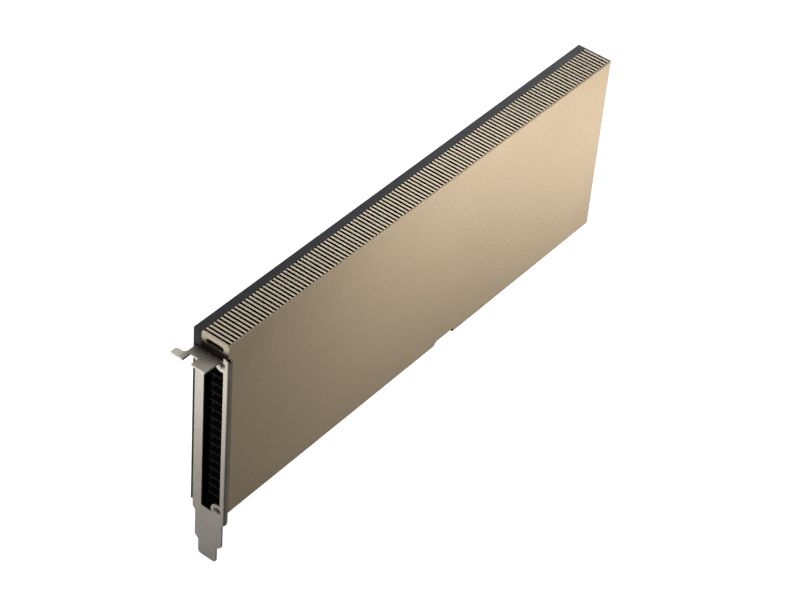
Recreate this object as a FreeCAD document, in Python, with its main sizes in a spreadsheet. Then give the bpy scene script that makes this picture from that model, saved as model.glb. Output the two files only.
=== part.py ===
import FreeCAD, Part
import math
import os
import re

import Sketcher

# Passive single-slot accelerator card, standing upright on its edge connector.
# X runs from the metal bracket to the power end, +Y points to the solder side, +Z is up.
# The origin is the centre of the key notch at the bottom of the edge contacts, on the
# middle plane of the circuit board. All sizes are in millimetres.

doc = FreeCAD.newDocument("accelerator_card")
sizes = doc.addObject("Spreadsheet::Sheet", "Sizes")
places = doc.addObject("Spreadsheet::Sheet", "Places")
owner = {}


# Driving dimensions, one cell each.
DRIVING = [
    ("card_length", 266.7),  # outer length of the card, bracket face to far end
    ("card_height", 111.15),  # top of the card above the bottom of the edge contacts
    ("component_height", 14.47),  # room on the component side of the board
    ("solder_height", 2.67),  # room on the solder side of the board
    ("board_thickness", 1.57),
    ("key_to_bracket", 57.15),  # key notch centre to the inner face of the bracket
    ("sheet_gauge", 0.86),  # bracket sheet
    ("bend_inside", 0.3),  # inside radius of each fold of the bracket
    ("fit_gap", 0.1),  # clearance where one piece stands inside another
    ("cut_past", 1.0),  # reach of a cut or joint past the face that it meets
    ("bore_room", 1.0),  # bore left free past the tip of a screw

    ("cover_lift", 14.05),  # lower edge of the cover above the bottom of the edge contacts
    ("front_wall", 0.85),
    ("edge_bar", 4.0),  # height of the ribbed rails at the top and bottom
    ("groove_count", 122),
    ("groove_width", 1.08),
    ("groove_depth", 2.0),
    ("end_wall", 1.27),  # near end wall above the tab, in front of the first groove
    ("foot_skip", 2),  # grooves that the foot rail leaves out behind the bracket
    ("near_round", 1.5),
    ("far_bevel", 0.6),
    ("edge_round", 0.6),  # front edges of the sheet along the top and the foot
    ("notch_start", 144.0),  # cut in the lower edge of the cover, from the bracket face
    ("notch_full", 146.6),
    ("notch_end", 158.9),
    ("notch_depth", 2.3),
    ("vent_length", 9.4),
    ("vent_height", 2.4),
    ("vent_drop", 3.1),
    ("vent_inset", 7.3),  # middle of the vent behind the front face
    ("vent_reach", 10.0),  # recess under the top rail that the vent opens into
    ("vent_roof", 0.4),  # metal left between that recess and the grooves
    ("boss_width", 7.0),
    ("boss_count", 2),
    ("boss_first", 46.0),  # first board screw behind the bracket face
    ("boss_last", 216.0),
    ("screw_inset", 4.85),  # board screws from the top and bottom of the cover
    ("boss_reach", 7.0),  # screw bosses of the rails, from the same edges
    ("extender_inset", 6.25),  # tapped holes of the far end, from the top and bottom edges
    ("extender_side", 4.3),  # the same holes behind the front face
    ("extender_reach", 8.85),
    ("extender_wall", 3.0),
    ("extender_radius", 1.25),
    ("extender_depth", 6.0),
    ("extender_floor", 1.0),

    ("tab_drop", 8.34),  # top face of the bracket tab below the top of the card
    ("bracket_height", 120.02),  # tab face to tongue tip
    ("bracket_width", 17.65),
    ("tab_reach", 10.57),
    ("tab_near", 3.1),
    ("tab_far", 17.0),
    ("tab_slot_near", 10.7),
    ("tab_slot_width", 4.42),
    ("tab_slot_depth", 4.4),
    ("tab_ear_far", 21.7),
    ("tab_ear_depth", 3.75),
    ("tab_ear_round", 1.2),
    ("tab_ear_hollow", 1.8),
    ("tab_corner_round", 0.5),
    ("corner_drop", 7.4),  # top of the small corner beside the tab
    ("corner_bevel", 1.5),
    ("fold_leg", 1.6),  # stretch of the plate that each fold takes up
    ("corner_gap", 0.6),  # shadow gap of the cover around that corner
    ("relief_width", 0.5),  # bend relief between the corner and the tab
    ("flange_reach", 2.6),
    ("flange_drop", 9.6),
    ("flange_foot", 103.4),
    ("flange_round", 1.2),
    ("lower_setback", 1.0),
    ("step_drop", 102.0),
    ("step_width", 1.5),
    ("step_height", 1.7),
    ("taper_drop", 118.1),
    ("taper_height", 2.3),
    ("shoulder_drop", 117.0),
    ("tongue_near", 3.9),
    ("tongue_width", 10.19),
    ("tongue_round", 1.6),
    ("shoulder_round", 0.8),
    ("window_near", 2.5),
    ("window_far", 12.85),
    ("window_top", 11.2),
    ("window_foot", 98.5),
    ("window_round", 0.8),
    ("ear_radius", 3.7),
    ("bracket_screw_side", 3.75),  # bracket screws behind the front face
    ("upper_screw_drop", 11.7),
    ("lower_screw_drop", 96.4),
    ("bracket_head_radius", 2.15),
    ("bracket_screw_length", 3.3),
    ("bracket_screw_sink", 0.4),  # top of the head below the face of the bracket
    ("recess_length", 2.7),  # cross recess of the screws
    ("recess_width", 0.7),
    ("recess_depth", 0.6),

    ("frame_depth", 3.5),  # inner frame behind the bracket
    ("frame_foot", 100.25),
    ("frame_side", 1.85),
    ("frame_window_margin", 0.25),

    ("back_wall", 1.0),
    ("top_flange", 1.0),
    ("near_flange", 1.0),
    ("end_flange", 1.1),
    ("backplate_skirt", 0.9),  # lower edge of the backplate below the cover's
    ("back_boss_width", 5.0),
    ("air_window_side", 2.2),
    ("air_window_margin", 9.8),
    ("air_window_web", 3.0),

    ("edge_tab_height", 8.25),
    ("key_width", 1.9),
    ("short_tab", 11.65),
    ("long_tab", 71.65),
    ("key_depth", 7.6),
    ("edge_bevel", 0.4),
    ("hook_gap", 3.2),
    ("hook_width", 4.6),
    ("hook_foot", 3.8),
    ("contact_pitch", 1.0),
    ("contact_width", 0.7),
    ("contact_foot", 1.5),
    ("contact_height", 4.2),
    ("contact_thickness", 0.04),
    ("contact_margin", 0.825),
    ("short_contacts", 11),
    ("long_contacts", 71),

    ("processor_x", 62.0),
    ("processor_drop", 2.6),  # middle of the processor below the middle of the cover
    ("substrate_side", 42.0),
    ("substrate_thickness", 1.6),
    ("die_side", 25.0),
    ("die_thickness", 0.7),
    ("package_frame_width", 3.0),
    ("package_frame_thickness", 0.5),
    ("memory_long", 14.0),
    ("memory_short", 12.0),
    ("memory_thickness", 1.1),
    ("memory_count", 4),
    ("memory_pitch", 15.5),
    ("memory_offset", 37.0),  # columns of memory beside the processor
    ("memory_drop", 14.15),  # row of memory above the processor, below the top of the card
    ("stage_x", 121.0),
    ("stage_length", 5.0),
    ("stage_width", 6.0),
    ("stage_thickness", 0.9),
    ("choke_x", 129.5),
    ("choke_side", 7.0),
    ("choke_height", 3.8),
    ("block_x", 139.0),
    ("block_length", 4.3),
    ("block_width", 7.3),
    ("block_height", 2.8),
    ("power_rows", 8),
    ("power_foot_inset", 14.95),  # first and last power row from the edges of the cover
    ("power_top_inset", 19.15),
    ("small_chip_side", 6.0),
    ("small_chip_thickness", 1.0),
    ("control_near_x", -32.0),
    ("control_near_count", 3),
    ("control_far_x", 168.0),
    ("control_far_count", 2),
    ("control_inset", 20.95),  # lowest control chips above the lower edge of the cover
    ("control_pitch", 20.0),
    ("decoupling_rows", 4),
    ("decoupling_pitch", 6.0),
    ("decoupling_length", 1.6),
    ("decoupling_width", 0.8),

    ("base_thickness", 1.5),
    ("base_step", 112.0),
    ("base_ramp", 4.0),
    ("base_headroom", 1.25),  # room between the base and the top rail's bosses
    ("base_end_gap", 5.19),  # room between the base and the power connector
    ("high_lift", 4.7),
    ("fin_count", 17),
    ("fin_foot_inset", 0.35),  # outer fins from the base's lower and upper edges
    ("fin_top_inset", 3.16),
    ("fin_thickness", 0.6),
    ("fin_near_setback", 1.7),
    ("fin_overhang", 3.0),  # fins past the far end of the base
    ("fin_tip_gap", 0.155),
    ("small_screw_radius", 1.0),
    ("small_screw_hole", 1.2),
    ("board_head_radius", 1.9),
    ("screw_engagement", 4.5),
    ("film_thickness", 0.2),
    ("film_margin", 9.85),  # film above the lower edge of the backplate

    ("plug_depth", 13.1),
    ("plug_width", 19.0),
    ("plug_height", 9.8),
    ("plug_drop", 19.15),  # middle of the connector below the top of the card
    ("plug_setback", 0.4),
    ("plug_columns", 4),
    ("plug_pitch", 4.2),
    ("plug_cavity", 3.4),
    ("plug_cavity_depth", 10.0),
    ("plug_pin", 1.0),
    ("plug_pin_length", 7.5),
    ("plug_latch_width", 4.0),
    ("plug_latch_height", 1.2),
    ("plug_latch_depth", 6.0),
    ("plug_gap", 0.25),
]

# Places worked out from the driving dimensions, in the order in which they build up.
DERIVED = [
    ("front_y", "-board_thickness / 2 - component_height"),
    ("board_front", "-board_thickness / 2"),
    ("board_back", "board_thickness / 2"),
    ("back_y", "board_thickness / 2 + solder_height"),
    ("face_x", "-key_to_bracket - sheet_gauge"),
    ("plate_x", "-key_to_bracket"),
    ("far_x", "face_x + card_length"),
    ("bars_far", "far_x - end_flange - fit_gap"),
    ("cover_height", "card_height - cover_lift"),
    ("cover_foot", "card_height - cover_height"),
    ("cavity_y", "front_y + front_wall"),
    ("frame_back", "plate_x + frame_depth"),
    ("frame_front", "front_y + sheet_gauge + fit_gap"),
    ("cavity_foot", "cover_foot + edge_bar"),
    ("cavity_top", "card_height - edge_bar"),
    ("groove_start", "face_x + end_wall"),
    ("groove_pitch", "(bars_far - groove_start) / groove_count"),
    ("boss_pitch", "(boss_last - boss_first) / (boss_count - 1)"),
    ("upper_row", "card_height - screw_inset"),
    ("lower_row", "cover_foot + screw_inset"),
    ("tab_z", "card_height - tab_drop"),
    ("ledge_z", "tab_z + fit_gap * 2"),
    ("tip_z", "tab_z - bracket_height"),
    ("bracket_screw_y", "front_y + bracket_screw_side"),
    ("bracket_shaft", "bracket_head_radius - sheet_gauge"),
    ("upper_screw_z", "card_height - upper_screw_drop"),
    ("lower_screw_z", "card_height - lower_screw_drop"),
    ("extender_y", "front_y + extender_side"),
    ("extender_top_z", "card_height - extender_inset"),
    ("extender_low_z", "cover_foot + extender_inset"),
    ("processor_z", "cover_foot + cover_height / 2 - processor_drop"),
    ("memory_row_z", "card_height - memory_drop"),
    ("power_z", "cover_foot + power_foot_inset"),
    ("power_span", "cover_height - power_foot_inset - power_top_inset"),
    ("power_pitch", "power_span / (power_rows - 1)"),
    ("control_z", "cover_foot + control_inset"),
    ("base_lift", "substrate_thickness + die_thickness"),
    ("base_y", "board_front - base_lift"),
    ("base_back", "base_y - base_thickness"),
    ("high_y", "board_front - high_lift"),
    ("high_back", "high_y - base_thickness"),
    ("sink_near", "frame_back + fit_gap * 2"),
    ("base_foot", "cover_foot + boss_reach + fit_gap"),
    ("base_top", "card_height - boss_reach - base_headroom"),
    ("fin_first", "base_foot + fin_foot_inset"),
    ("fin_last", "base_top - fin_top_inset"),
    ("fin_pitch", "(fin_last - fin_first) / (fin_count - 1)"),
    ("fin_tip", "cavity_y + fin_tip_gap"),
    ("fin_near", "face_x + fin_near_setback"),
    ("board_near", "plate_x + near_flange + fit_gap"),
    ("board_far", "far_x - end_flange - fit_gap"),
    ("board_top", "card_height - top_flange - fit_gap"),
    ("backplate_height", "cover_height + backplate_skirt"),
    ("backplate_foot", "card_height - backplate_height"),
    ("back_inner", "back_y - back_wall"),
    ("film_foot", "backplate_foot + film_margin"),
    ("plug_far", "far_x - plug_setback"),
    ("plug_near", "plug_far - plug_depth"),
    ("plug_z", "card_height - plug_drop"),
    ("base_far", "plug_near - base_end_gap"),
    ("fin_far", "base_far + fin_overhang"),
    ("plug_foot", "plug_z - plug_width / 2"),
    ("plug_y", "board_front - plug_height"),
    ("plug_first", "plug_z - plug_pitch * (plug_columns - 1) / 2"),
    ("plug_row_low", "board_front - plug_height / 2 + plug_pitch / 2"),
    ("plug_row_high", "board_front - plug_height / 2 - plug_pitch / 2"),
]

WORD = re.compile(r"[a-z][a-z_]{2,}")


def formula(text):
    """A formula of named sizes, with each name led by its sheet."""
    return WORD.sub(lambda m: owner.get(m.group(0), "") + m.group(0), text)


def fill_sheets():
    """Writes the driving dimensions and the places that follow from them."""
    for row, (name, value) in enumerate(DRIVING, 1):
        sizes.set("A%d" % row, name)
        sizes.set("B%d" % row, str(value))
        sizes.setAlias("B%d" % row, name)
        owner[name] = "Sizes."
    doc.recompute()
    for row, (name, text) in enumerate(DERIVED, 1):
        places.set("A%d" % row, name)
        places.set("B%d" % row, "=" + formula(text))
        places.setAlias("B%d" % row, name)
        doc.recompute()
        owner[name] = "Places."


fill_sheets()


def number(text):
    """Present value of a formula, used to lay a sketch out before its constraints."""
    return float(doc.getObject("Places").evalExpression(formula(text)))


def bind(item, prop, text):
    """Ties a property to a formula of the named sizes."""
    item.setExpression(prop, formula(text))


# Sketches and features of the bodies.

def new_body(label):
    body = doc.addObject("PartDesign::Body", label + "_body")
    body.Label = label
    body.AllowCompound = True
    return body


def new_sketch(body, plane, offset="0"):
    """Sketch on an origin plane of the body, moved along the plane's normal by a formula."""
    sketch = body.newObject("Sketcher::SketchObject", body.Label + "_sketch")
    base = [part for part in body.Origin.OriginFeatures if part.Role == plane][0]
    sketch.AttachmentSupport = [(base, "")]
    sketch.MapMode = "FlatFace"
    bind(sketch, "AttachmentOffset.Base.z", offset)
    return sketch


def place_point(sketch, geometry, end, across, up):
    """Fixes one point of a sketch at two formulas, measured from the sketch's origin."""
    for kind, text in (("DistanceX", across), ("DistanceY", up)):
        value = number(text)
        index = sketch.addConstraint(Sketcher.Constraint(kind, -1, 1, geometry, end, value))
        sketch.setExpression("Constraints[%d]" % index, formula(text))


def draw_outline(sketch, corners):
    """Closed outline of straight lines through corners given as pairs of formulas."""
    spots = [FreeCAD.Vector(number(a), number(b), 0) for a, b in corners]
    first = sketch.GeometryCount
    count = len(spots)
    for i in range(count):
        sketch.addGeometry(Part.LineSegment(spots[i], spots[(i + 1) % count]), False)
    for i in range(count):
        following = first + (i + 1) % count
        sketch.addConstraint(Sketcher.Constraint("Coincident", first + i, 2, following, 1))
    for i, (across, up) in enumerate(corners):
        place_point(sketch, first + i, 1, across, up)


def draw_rectangle(sketch, left, right, low, high):
    draw_outline(sketch, [(left, low), (right, low), (right, high), (left, high)])


def draw_circle(sketch, across, up, radius):
    centre = FreeCAD.Vector(number(across), number(up), 0)
    circle = Part.Circle(centre, FreeCAD.Vector(0, 0, 1), number(radius))
    index = sketch.addGeometry(circle, False)
    place_point(sketch, index, 3, across, up)
    tie = sketch.addConstraint(Sketcher.Constraint("Radius", index, number(radius)))
    sketch.setExpression("Constraints[%d]" % tie, formula(radius))


def draw_slot(sketch, across, up, length, height):
    """Slot with round ends, its length along the sketch's first axis."""
    radius = number(height) / 2
    reach = number(length) / 2 - radius
    middle = FreeCAD.Vector(number(across), number(up), 0)
    normal = FreeCAD.Vector(0, 0, 1)
    side = FreeCAD.Vector(reach, 0, 0)
    rise = FreeCAD.Vector(0, radius, 0)
    quarter = math.pi / 2
    left = sketch.addGeometry(
        Part.ArcOfCircle(Part.Circle(middle - side, normal, radius), quarter, 3 * quarter), False)
    low = sketch.addGeometry(
        Part.LineSegment(middle - side - rise, middle + side - rise), False)
    right = sketch.addGeometry(
        Part.ArcOfCircle(Part.Circle(middle + side, normal, radius), -quarter, quarter), False)
    high = sketch.addGeometry(
        Part.LineSegment(middle + side + rise, middle - side + rise), False)
    for one, two in ((left, low), (low, right), (right, high), (high, left)):
        sketch.addConstraint(Sketcher.Constraint("Tangent", one, 2, two, 1))
    sketch.addConstraint(Sketcher.Constraint("Equal", left, right))
    tie = sketch.addConstraint(Sketcher.Constraint("Radius", left, radius))
    sketch.setExpression("Constraints[%d]" % tie, formula("(%s) / 2" % height))
    half = "((%s) - (%s)) / 2" % (length, height)
    place_point(sketch, left, 3, "%s - %s" % (across, half), up)
    place_point(sketch, right, 3, "%s + %s" % (across, half), up)


def draw_window(sketch, side, far, low, high, radius):
    """Window of the bracket: its side corners go round the two screws as arcs."""
    normal = FreeCAD.Vector(0, 0, 1)
    size = number(radius)
    spot_y = number("bracket_screw_y")
    left, right = number(side), number(far)
    foot, head = number(low), number(high)
    upper = Part.Circle(FreeCAD.Vector(spot_y, number("upper_screw_z"), 0), normal, size)
    lower = Part.Circle(FreeCAD.Vector(spot_y, number("lower_screw_z"), 0), normal, size)
    drop = math.acos((left - spot_y) / size)
    top_turn = math.asin((head - upper.Center.y) / size)
    foot_turn = math.asin((foot - lower.Center.y) / size)
    rise = upper.value(-drop)
    top = upper.value(top_turn)
    start = lower.value(drop)
    base = lower.value(foot_turn)
    corner = FreeCAD.Vector(right, head, 0)
    under = FreeCAD.Vector(right, foot, 0)
    edge = sketch.addGeometry(Part.LineSegment(start, rise), False)
    arc_up = sketch.addGeometry(Part.ArcOfCircle(upper, -drop, top_turn), False)
    head_line = sketch.addGeometry(Part.LineSegment(top, corner), False)
    far_line = sketch.addGeometry(Part.LineSegment(corner, under), False)
    foot_line = sketch.addGeometry(Part.LineSegment(under, base), False)
    arc_low = sketch.addGeometry(Part.ArcOfCircle(lower, foot_turn, drop), False)
    for one, end, two, begin in ((edge, 2, arc_up, 1), (arc_up, 2, head_line, 1),
                                 (head_line, 2, far_line, 1), (far_line, 2, foot_line, 1),
                                 (foot_line, 2, arc_low, 1), (arc_low, 2, edge, 1)):
        sketch.addConstraint(Sketcher.Constraint("Coincident", one, end, two, begin))
    for line, way in ((edge, "Vertical"), (far_line, "Vertical"),
                      (head_line, "Horizontal"), (foot_line, "Horizontal")):
        sketch.addConstraint(Sketcher.Constraint(way, line))
    for arc, middle in ((arc_up, "upper_screw_z"), (arc_low, "lower_screw_z")):
        place_point(sketch, arc, 3, "bracket_screw_y", middle)
        tie = sketch.addConstraint(Sketcher.Constraint("Radius", arc, size))
        sketch.setExpression("Constraints[%d]" % tie, formula(radius))
    tie = sketch.addConstraint(Sketcher.Constraint("DistanceX", -1, 1, edge, 1, left))
    sketch.setExpression("Constraints[%d]" % tie, formula(side))
    place_point(sketch, far_line, 1, far, high)
    tie = sketch.addConstraint(Sketcher.Constraint("DistanceY", -1, 1, far_line, 2, foot))
    sketch.setExpression("Constraints[%d]" % tie, formula(low))


def add_pad(body, sketch, length, reverse=False):
    pad = body.newObject("PartDesign::Pad", body.Label + "_pad")
    pad.Profile = sketch
    bind(pad, "Length", length)
    pad.Reversed = reverse
    return pad


def add_pocket(body, sketch, depth, reverse=False):
    """Cuts a sketch into the body, against the sketch's normal unless reversed."""
    pocket = body.newObject("PartDesign::Pocket", body.Label + "_pocket")
    pocket.Profile = sketch
    pocket.Type = 0
    bind(pocket, "Length", depth)
    pocket.Reversed = reverse
    return pocket


def add_row(body, feature, axis, count, pitch):
    """Repeats a feature along an origin axis of the body."""
    row = body.newObject("PartDesign::LinearPattern", body.Label + "_row")
    line = [part for part in body.Origin.OriginFeatures if part.Role == axis][0]
    row.Originals = [feature]
    row.Direction = (line, [""])
    row.Mode = "Spacing"
    bind(row, "Offset", pitch)
    bind(row, "Occurrences", count)
    body.Tip = row
    return row


def widen_row(body, row, axis, count, pitch):
    """Makes a row into a grid with a second direction."""
    line = [part for part in body.Origin.OriginFeatures if part.Role == axis][0]
    row.Direction2 = (line, [""])
    row.Mode2 = "Spacing"
    bind(row, "Offset2", pitch)
    bind(row, "Occurrences2", count)
    doc.recompute()
    row.Spacings2 = [-1.0] * len(row.Spacings2)
    return row


def edges_where(shape, test):
    """Names of the straight or round edges whose middle and direction pass the test."""
    names = []
    for index, edge in enumerate(shape.Edges, 1):
        ends = (edge.FirstParameter + edge.LastParameter) / 2
        middle = edge.valueAt(ends)
        if test(middle, edge.tangentAt(ends)):
            names.append("Edge%d" % index)
    return names


def near(value, text, slack=0.01):
    return abs(value - number(text)) < slack


def add_round(body, kind, size, test):
    """Fillet or Chamfer of the body's edges that pass the test."""
    doc.recompute()
    base = body.Tip
    names = edges_where(base.Shape, test)
    if not names:
        raise ValueError("no edge found on " + body.Label)
    trim = body.newObject("PartDesign::" + kind, body.Label + "_" + kind.lower())
    trim.Base = (base, names)
    bind(trim, "Radius" if kind == "Fillet" else "Size", size)
    body.Tip = trim
    return trim


def add_turn(body, kind, plane, offset, start, direction, profile):
    """Revolution or Groove of a profile about an axis through start, all in one sketch."""
    across, up = start
    sketch = new_sketch(body, plane, offset)
    begin = FreeCAD.Vector(number(across), number(up), 0)
    way = FreeCAD.Vector(direction[0], direction[1], 0)
    axis = sketch.addGeometry(Part.LineSegment(begin, begin + way), True)
    place_point(sketch, axis, 1, across, up)
    place_point(sketch, axis, 2, "%s + %d" % (across, direction[0]),
                "%s + %d" % (up, direction[1]))
    draw_outline(sketch, [("%s + (%s)" % (across, a), "%s + (%s)" % (up, b))
                          for a, b in profile])
    turn = body.newObject("PartDesign::" + kind, body.Label + "_" + kind.lower())
    turn.Profile = sketch
    turn.ReferenceAxis = (sketch, ["Axis0"])
    turn.Angle = 360
    return turn


def upright(direction):
    return abs(direction.z) > 0.99


def crosswise(direction):
    return abs(direction.y) > 0.99


def lengthwise(direction):
    return abs(direction.x) > 0.99


# Cover: one machined block with a hollow, an end wall and two ribbed edges.

def make_cover():
    """Front sheet, with the near end wall that stands above the bracket's tab."""
    body = new_body("cover")
    sheet = new_sketch(body, "XZ_Plane", "-cavity_y")
    draw_outline(sheet, [
        ("face_x", "cover_foot"),
        ("face_x + notch_start", "cover_foot"),
        ("face_x + notch_full", "cover_foot + notch_depth"),
        ("face_x + notch_end", "cover_foot + notch_depth"),
        ("face_x + notch_end", "cover_foot"),
        ("far_x", "cover_foot"),
        ("far_x", "card_height"),
        ("face_x", "card_height"),
    ])
    add_pad(body, sheet, "front_wall")
    wall = new_sketch(body, "YZ_Plane", "face_x")
    draw_rectangle(wall, "front_y", "board_front", "ledge_z", "card_height")
    add_pad(body, wall, "end_wall")
    add_round(body, "Fillet", "near_round", lambda p, d: (
        upright(d) and near(p.x, "face_x") and near(p.y, "front_y")))
    add_round(body, "Chamfer", "far_bevel", lambda p, d: (
        upright(d) and near(p.x, "far_x") and near(p.y, "front_y")))
    add_round(body, "Fillet", "edge_round", lambda p, d: (
        lengthwise(d) and near(p.y, "front_y") and (
            near(p.z, "card_height") or near(p.z, "cover_foot"))))

    # The bracket's flange and corner lie flush in the sheet, and the vent is above the tab.
    flange_seat = new_sketch(body, "XZ_Plane", "-front_y")
    draw_rectangle(flange_seat, "face_x - cut_past", "face_x + flange_reach + fit_gap",
                   "cover_foot - cut_past", "card_height - flange_drop + corner_gap")
    add_pocket(body, flange_seat, "sheet_gauge + cut_past")
    corner_seat = new_sketch(body, "XZ_Plane", "-front_y")
    draw_rectangle(corner_seat, "face_x - cut_past", "plate_x + corner_gap",
                   "card_height - flange_drop", "card_height - corner_drop + corner_gap")
    add_pocket(body, corner_seat, "tab_near")
    vent = new_sketch(body, "YZ_Plane", "face_x")
    draw_slot(vent, "front_y + vent_inset", "card_height - vent_drop",
              "vent_length", "vent_height")
    add_pocket(body, vent, "end_wall + cut_past", True)
    return body


def add_screw_bosses(body, low, high, row):
    """Blocks inside a rail, each with the bore of a board screw."""
    block = new_sketch(body, "XZ_Plane", "-board_front")
    draw_rectangle(block, "face_x + boss_first - boss_width / 2",
                   "face_x + boss_first + boss_width / 2", low, high)
    pad = add_pad(body, block, "board_front - cavity_y")
    add_row(body, pad, "X_Axis", "boss_count", "boss_pitch")
    bore = new_sketch(body, "XZ_Plane", "-board_front")
    draw_circle(bore, "face_x + boss_first", row, "small_screw_radius")
    pocket = add_pocket(body, bore, "screw_engagement + bore_room", True)
    add_row(body, pocket, "X_Axis", "boss_count", "boss_pitch")


def add_extender_block(body, low, high, middle):
    """Block at the far end of a rail, with a tapped hole along the card."""
    block = new_sketch(body, "YZ_Plane", "bars_far")
    draw_rectangle(block, "cavity_y", "extender_y + extender_wall", low, high)
    add_pad(body, block, "extender_depth + extender_floor", True)
    bore = new_sketch(body, "YZ_Plane", "bars_far")
    draw_circle(bore, "extender_y", middle, "extender_radius")
    add_pocket(body, bore, "extender_depth")


def add_grooves(body, start, count, level, upward):
    """Cross grooves through the whole depth of a rail, at one pitch along the card."""
    groove = new_sketch(body, "XY_Plane", level)
    draw_rectangle(groove, start, start + " + groove_width",
                   "cavity_y", "board_front")
    cut = add_pocket(body, groove, "groove_depth", upward)
    add_row(body, cut, "X_Axis", count, "groove_pitch")


def make_top_rail():
    """Ribbed rail behind the sheet along the top of the card."""
    body = new_body("top_rail")
    bar = new_sketch(body, "XZ_Plane", "-board_front")
    draw_rectangle(bar, "groove_start", "bars_far", "cavity_top", "card_height")
    add_pad(body, bar, "board_front - cavity_y")
    add_screw_bosses(body, "card_height - boss_reach", "cavity_top", "upper_row")
    add_extender_block(body, "card_height - extender_reach", "cavity_top",
                       "extender_top_z")
    add_grooves(body, "groove_start", "groove_count", "card_height", False)
    recess = new_sketch(body, "YZ_Plane", "groove_start")
    draw_rectangle(recess, "front_y + vent_inset - vent_length / 2",
                   "front_y + vent_inset + vent_length / 2",
                   "cavity_top - cut_past", "card_height - groove_depth - vent_roof")
    add_pocket(body, recess, "vent_reach", True)
    return body


def make_foot_rail():
    """Ribbed rail along the lower edge, from the inner frame to the far end."""
    body = new_body("foot_rail")
    bar = new_sketch(body, "XZ_Plane", "-board_front")
    draw_outline(bar, [
        ("frame_back", "cover_foot"),
        ("face_x + notch_start", "cover_foot"),
        ("face_x + notch_full", "cover_foot + notch_depth"),
        ("face_x + notch_end", "cover_foot + notch_depth"),
        ("face_x + notch_end", "cover_foot"),
        ("bars_far", "cover_foot"),
        ("bars_far", "cavity_foot"),
        ("frame_back", "cavity_foot"),
    ])
    add_pad(body, bar, "board_front - cavity_y")
    add_screw_bosses(body, "cavity_foot", "cover_foot + boss_reach", "lower_row")
    add_extender_block(body, "cavity_foot", "cover_foot + extender_reach",
                       "extender_low_z")
    add_grooves(body, "groove_start + foot_skip * groove_pitch",
                "groove_count - foot_skip", "cover_foot", True)
    return body


# Bracket: one folded and punched sheet with a plate, a tab and a side flange.

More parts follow.
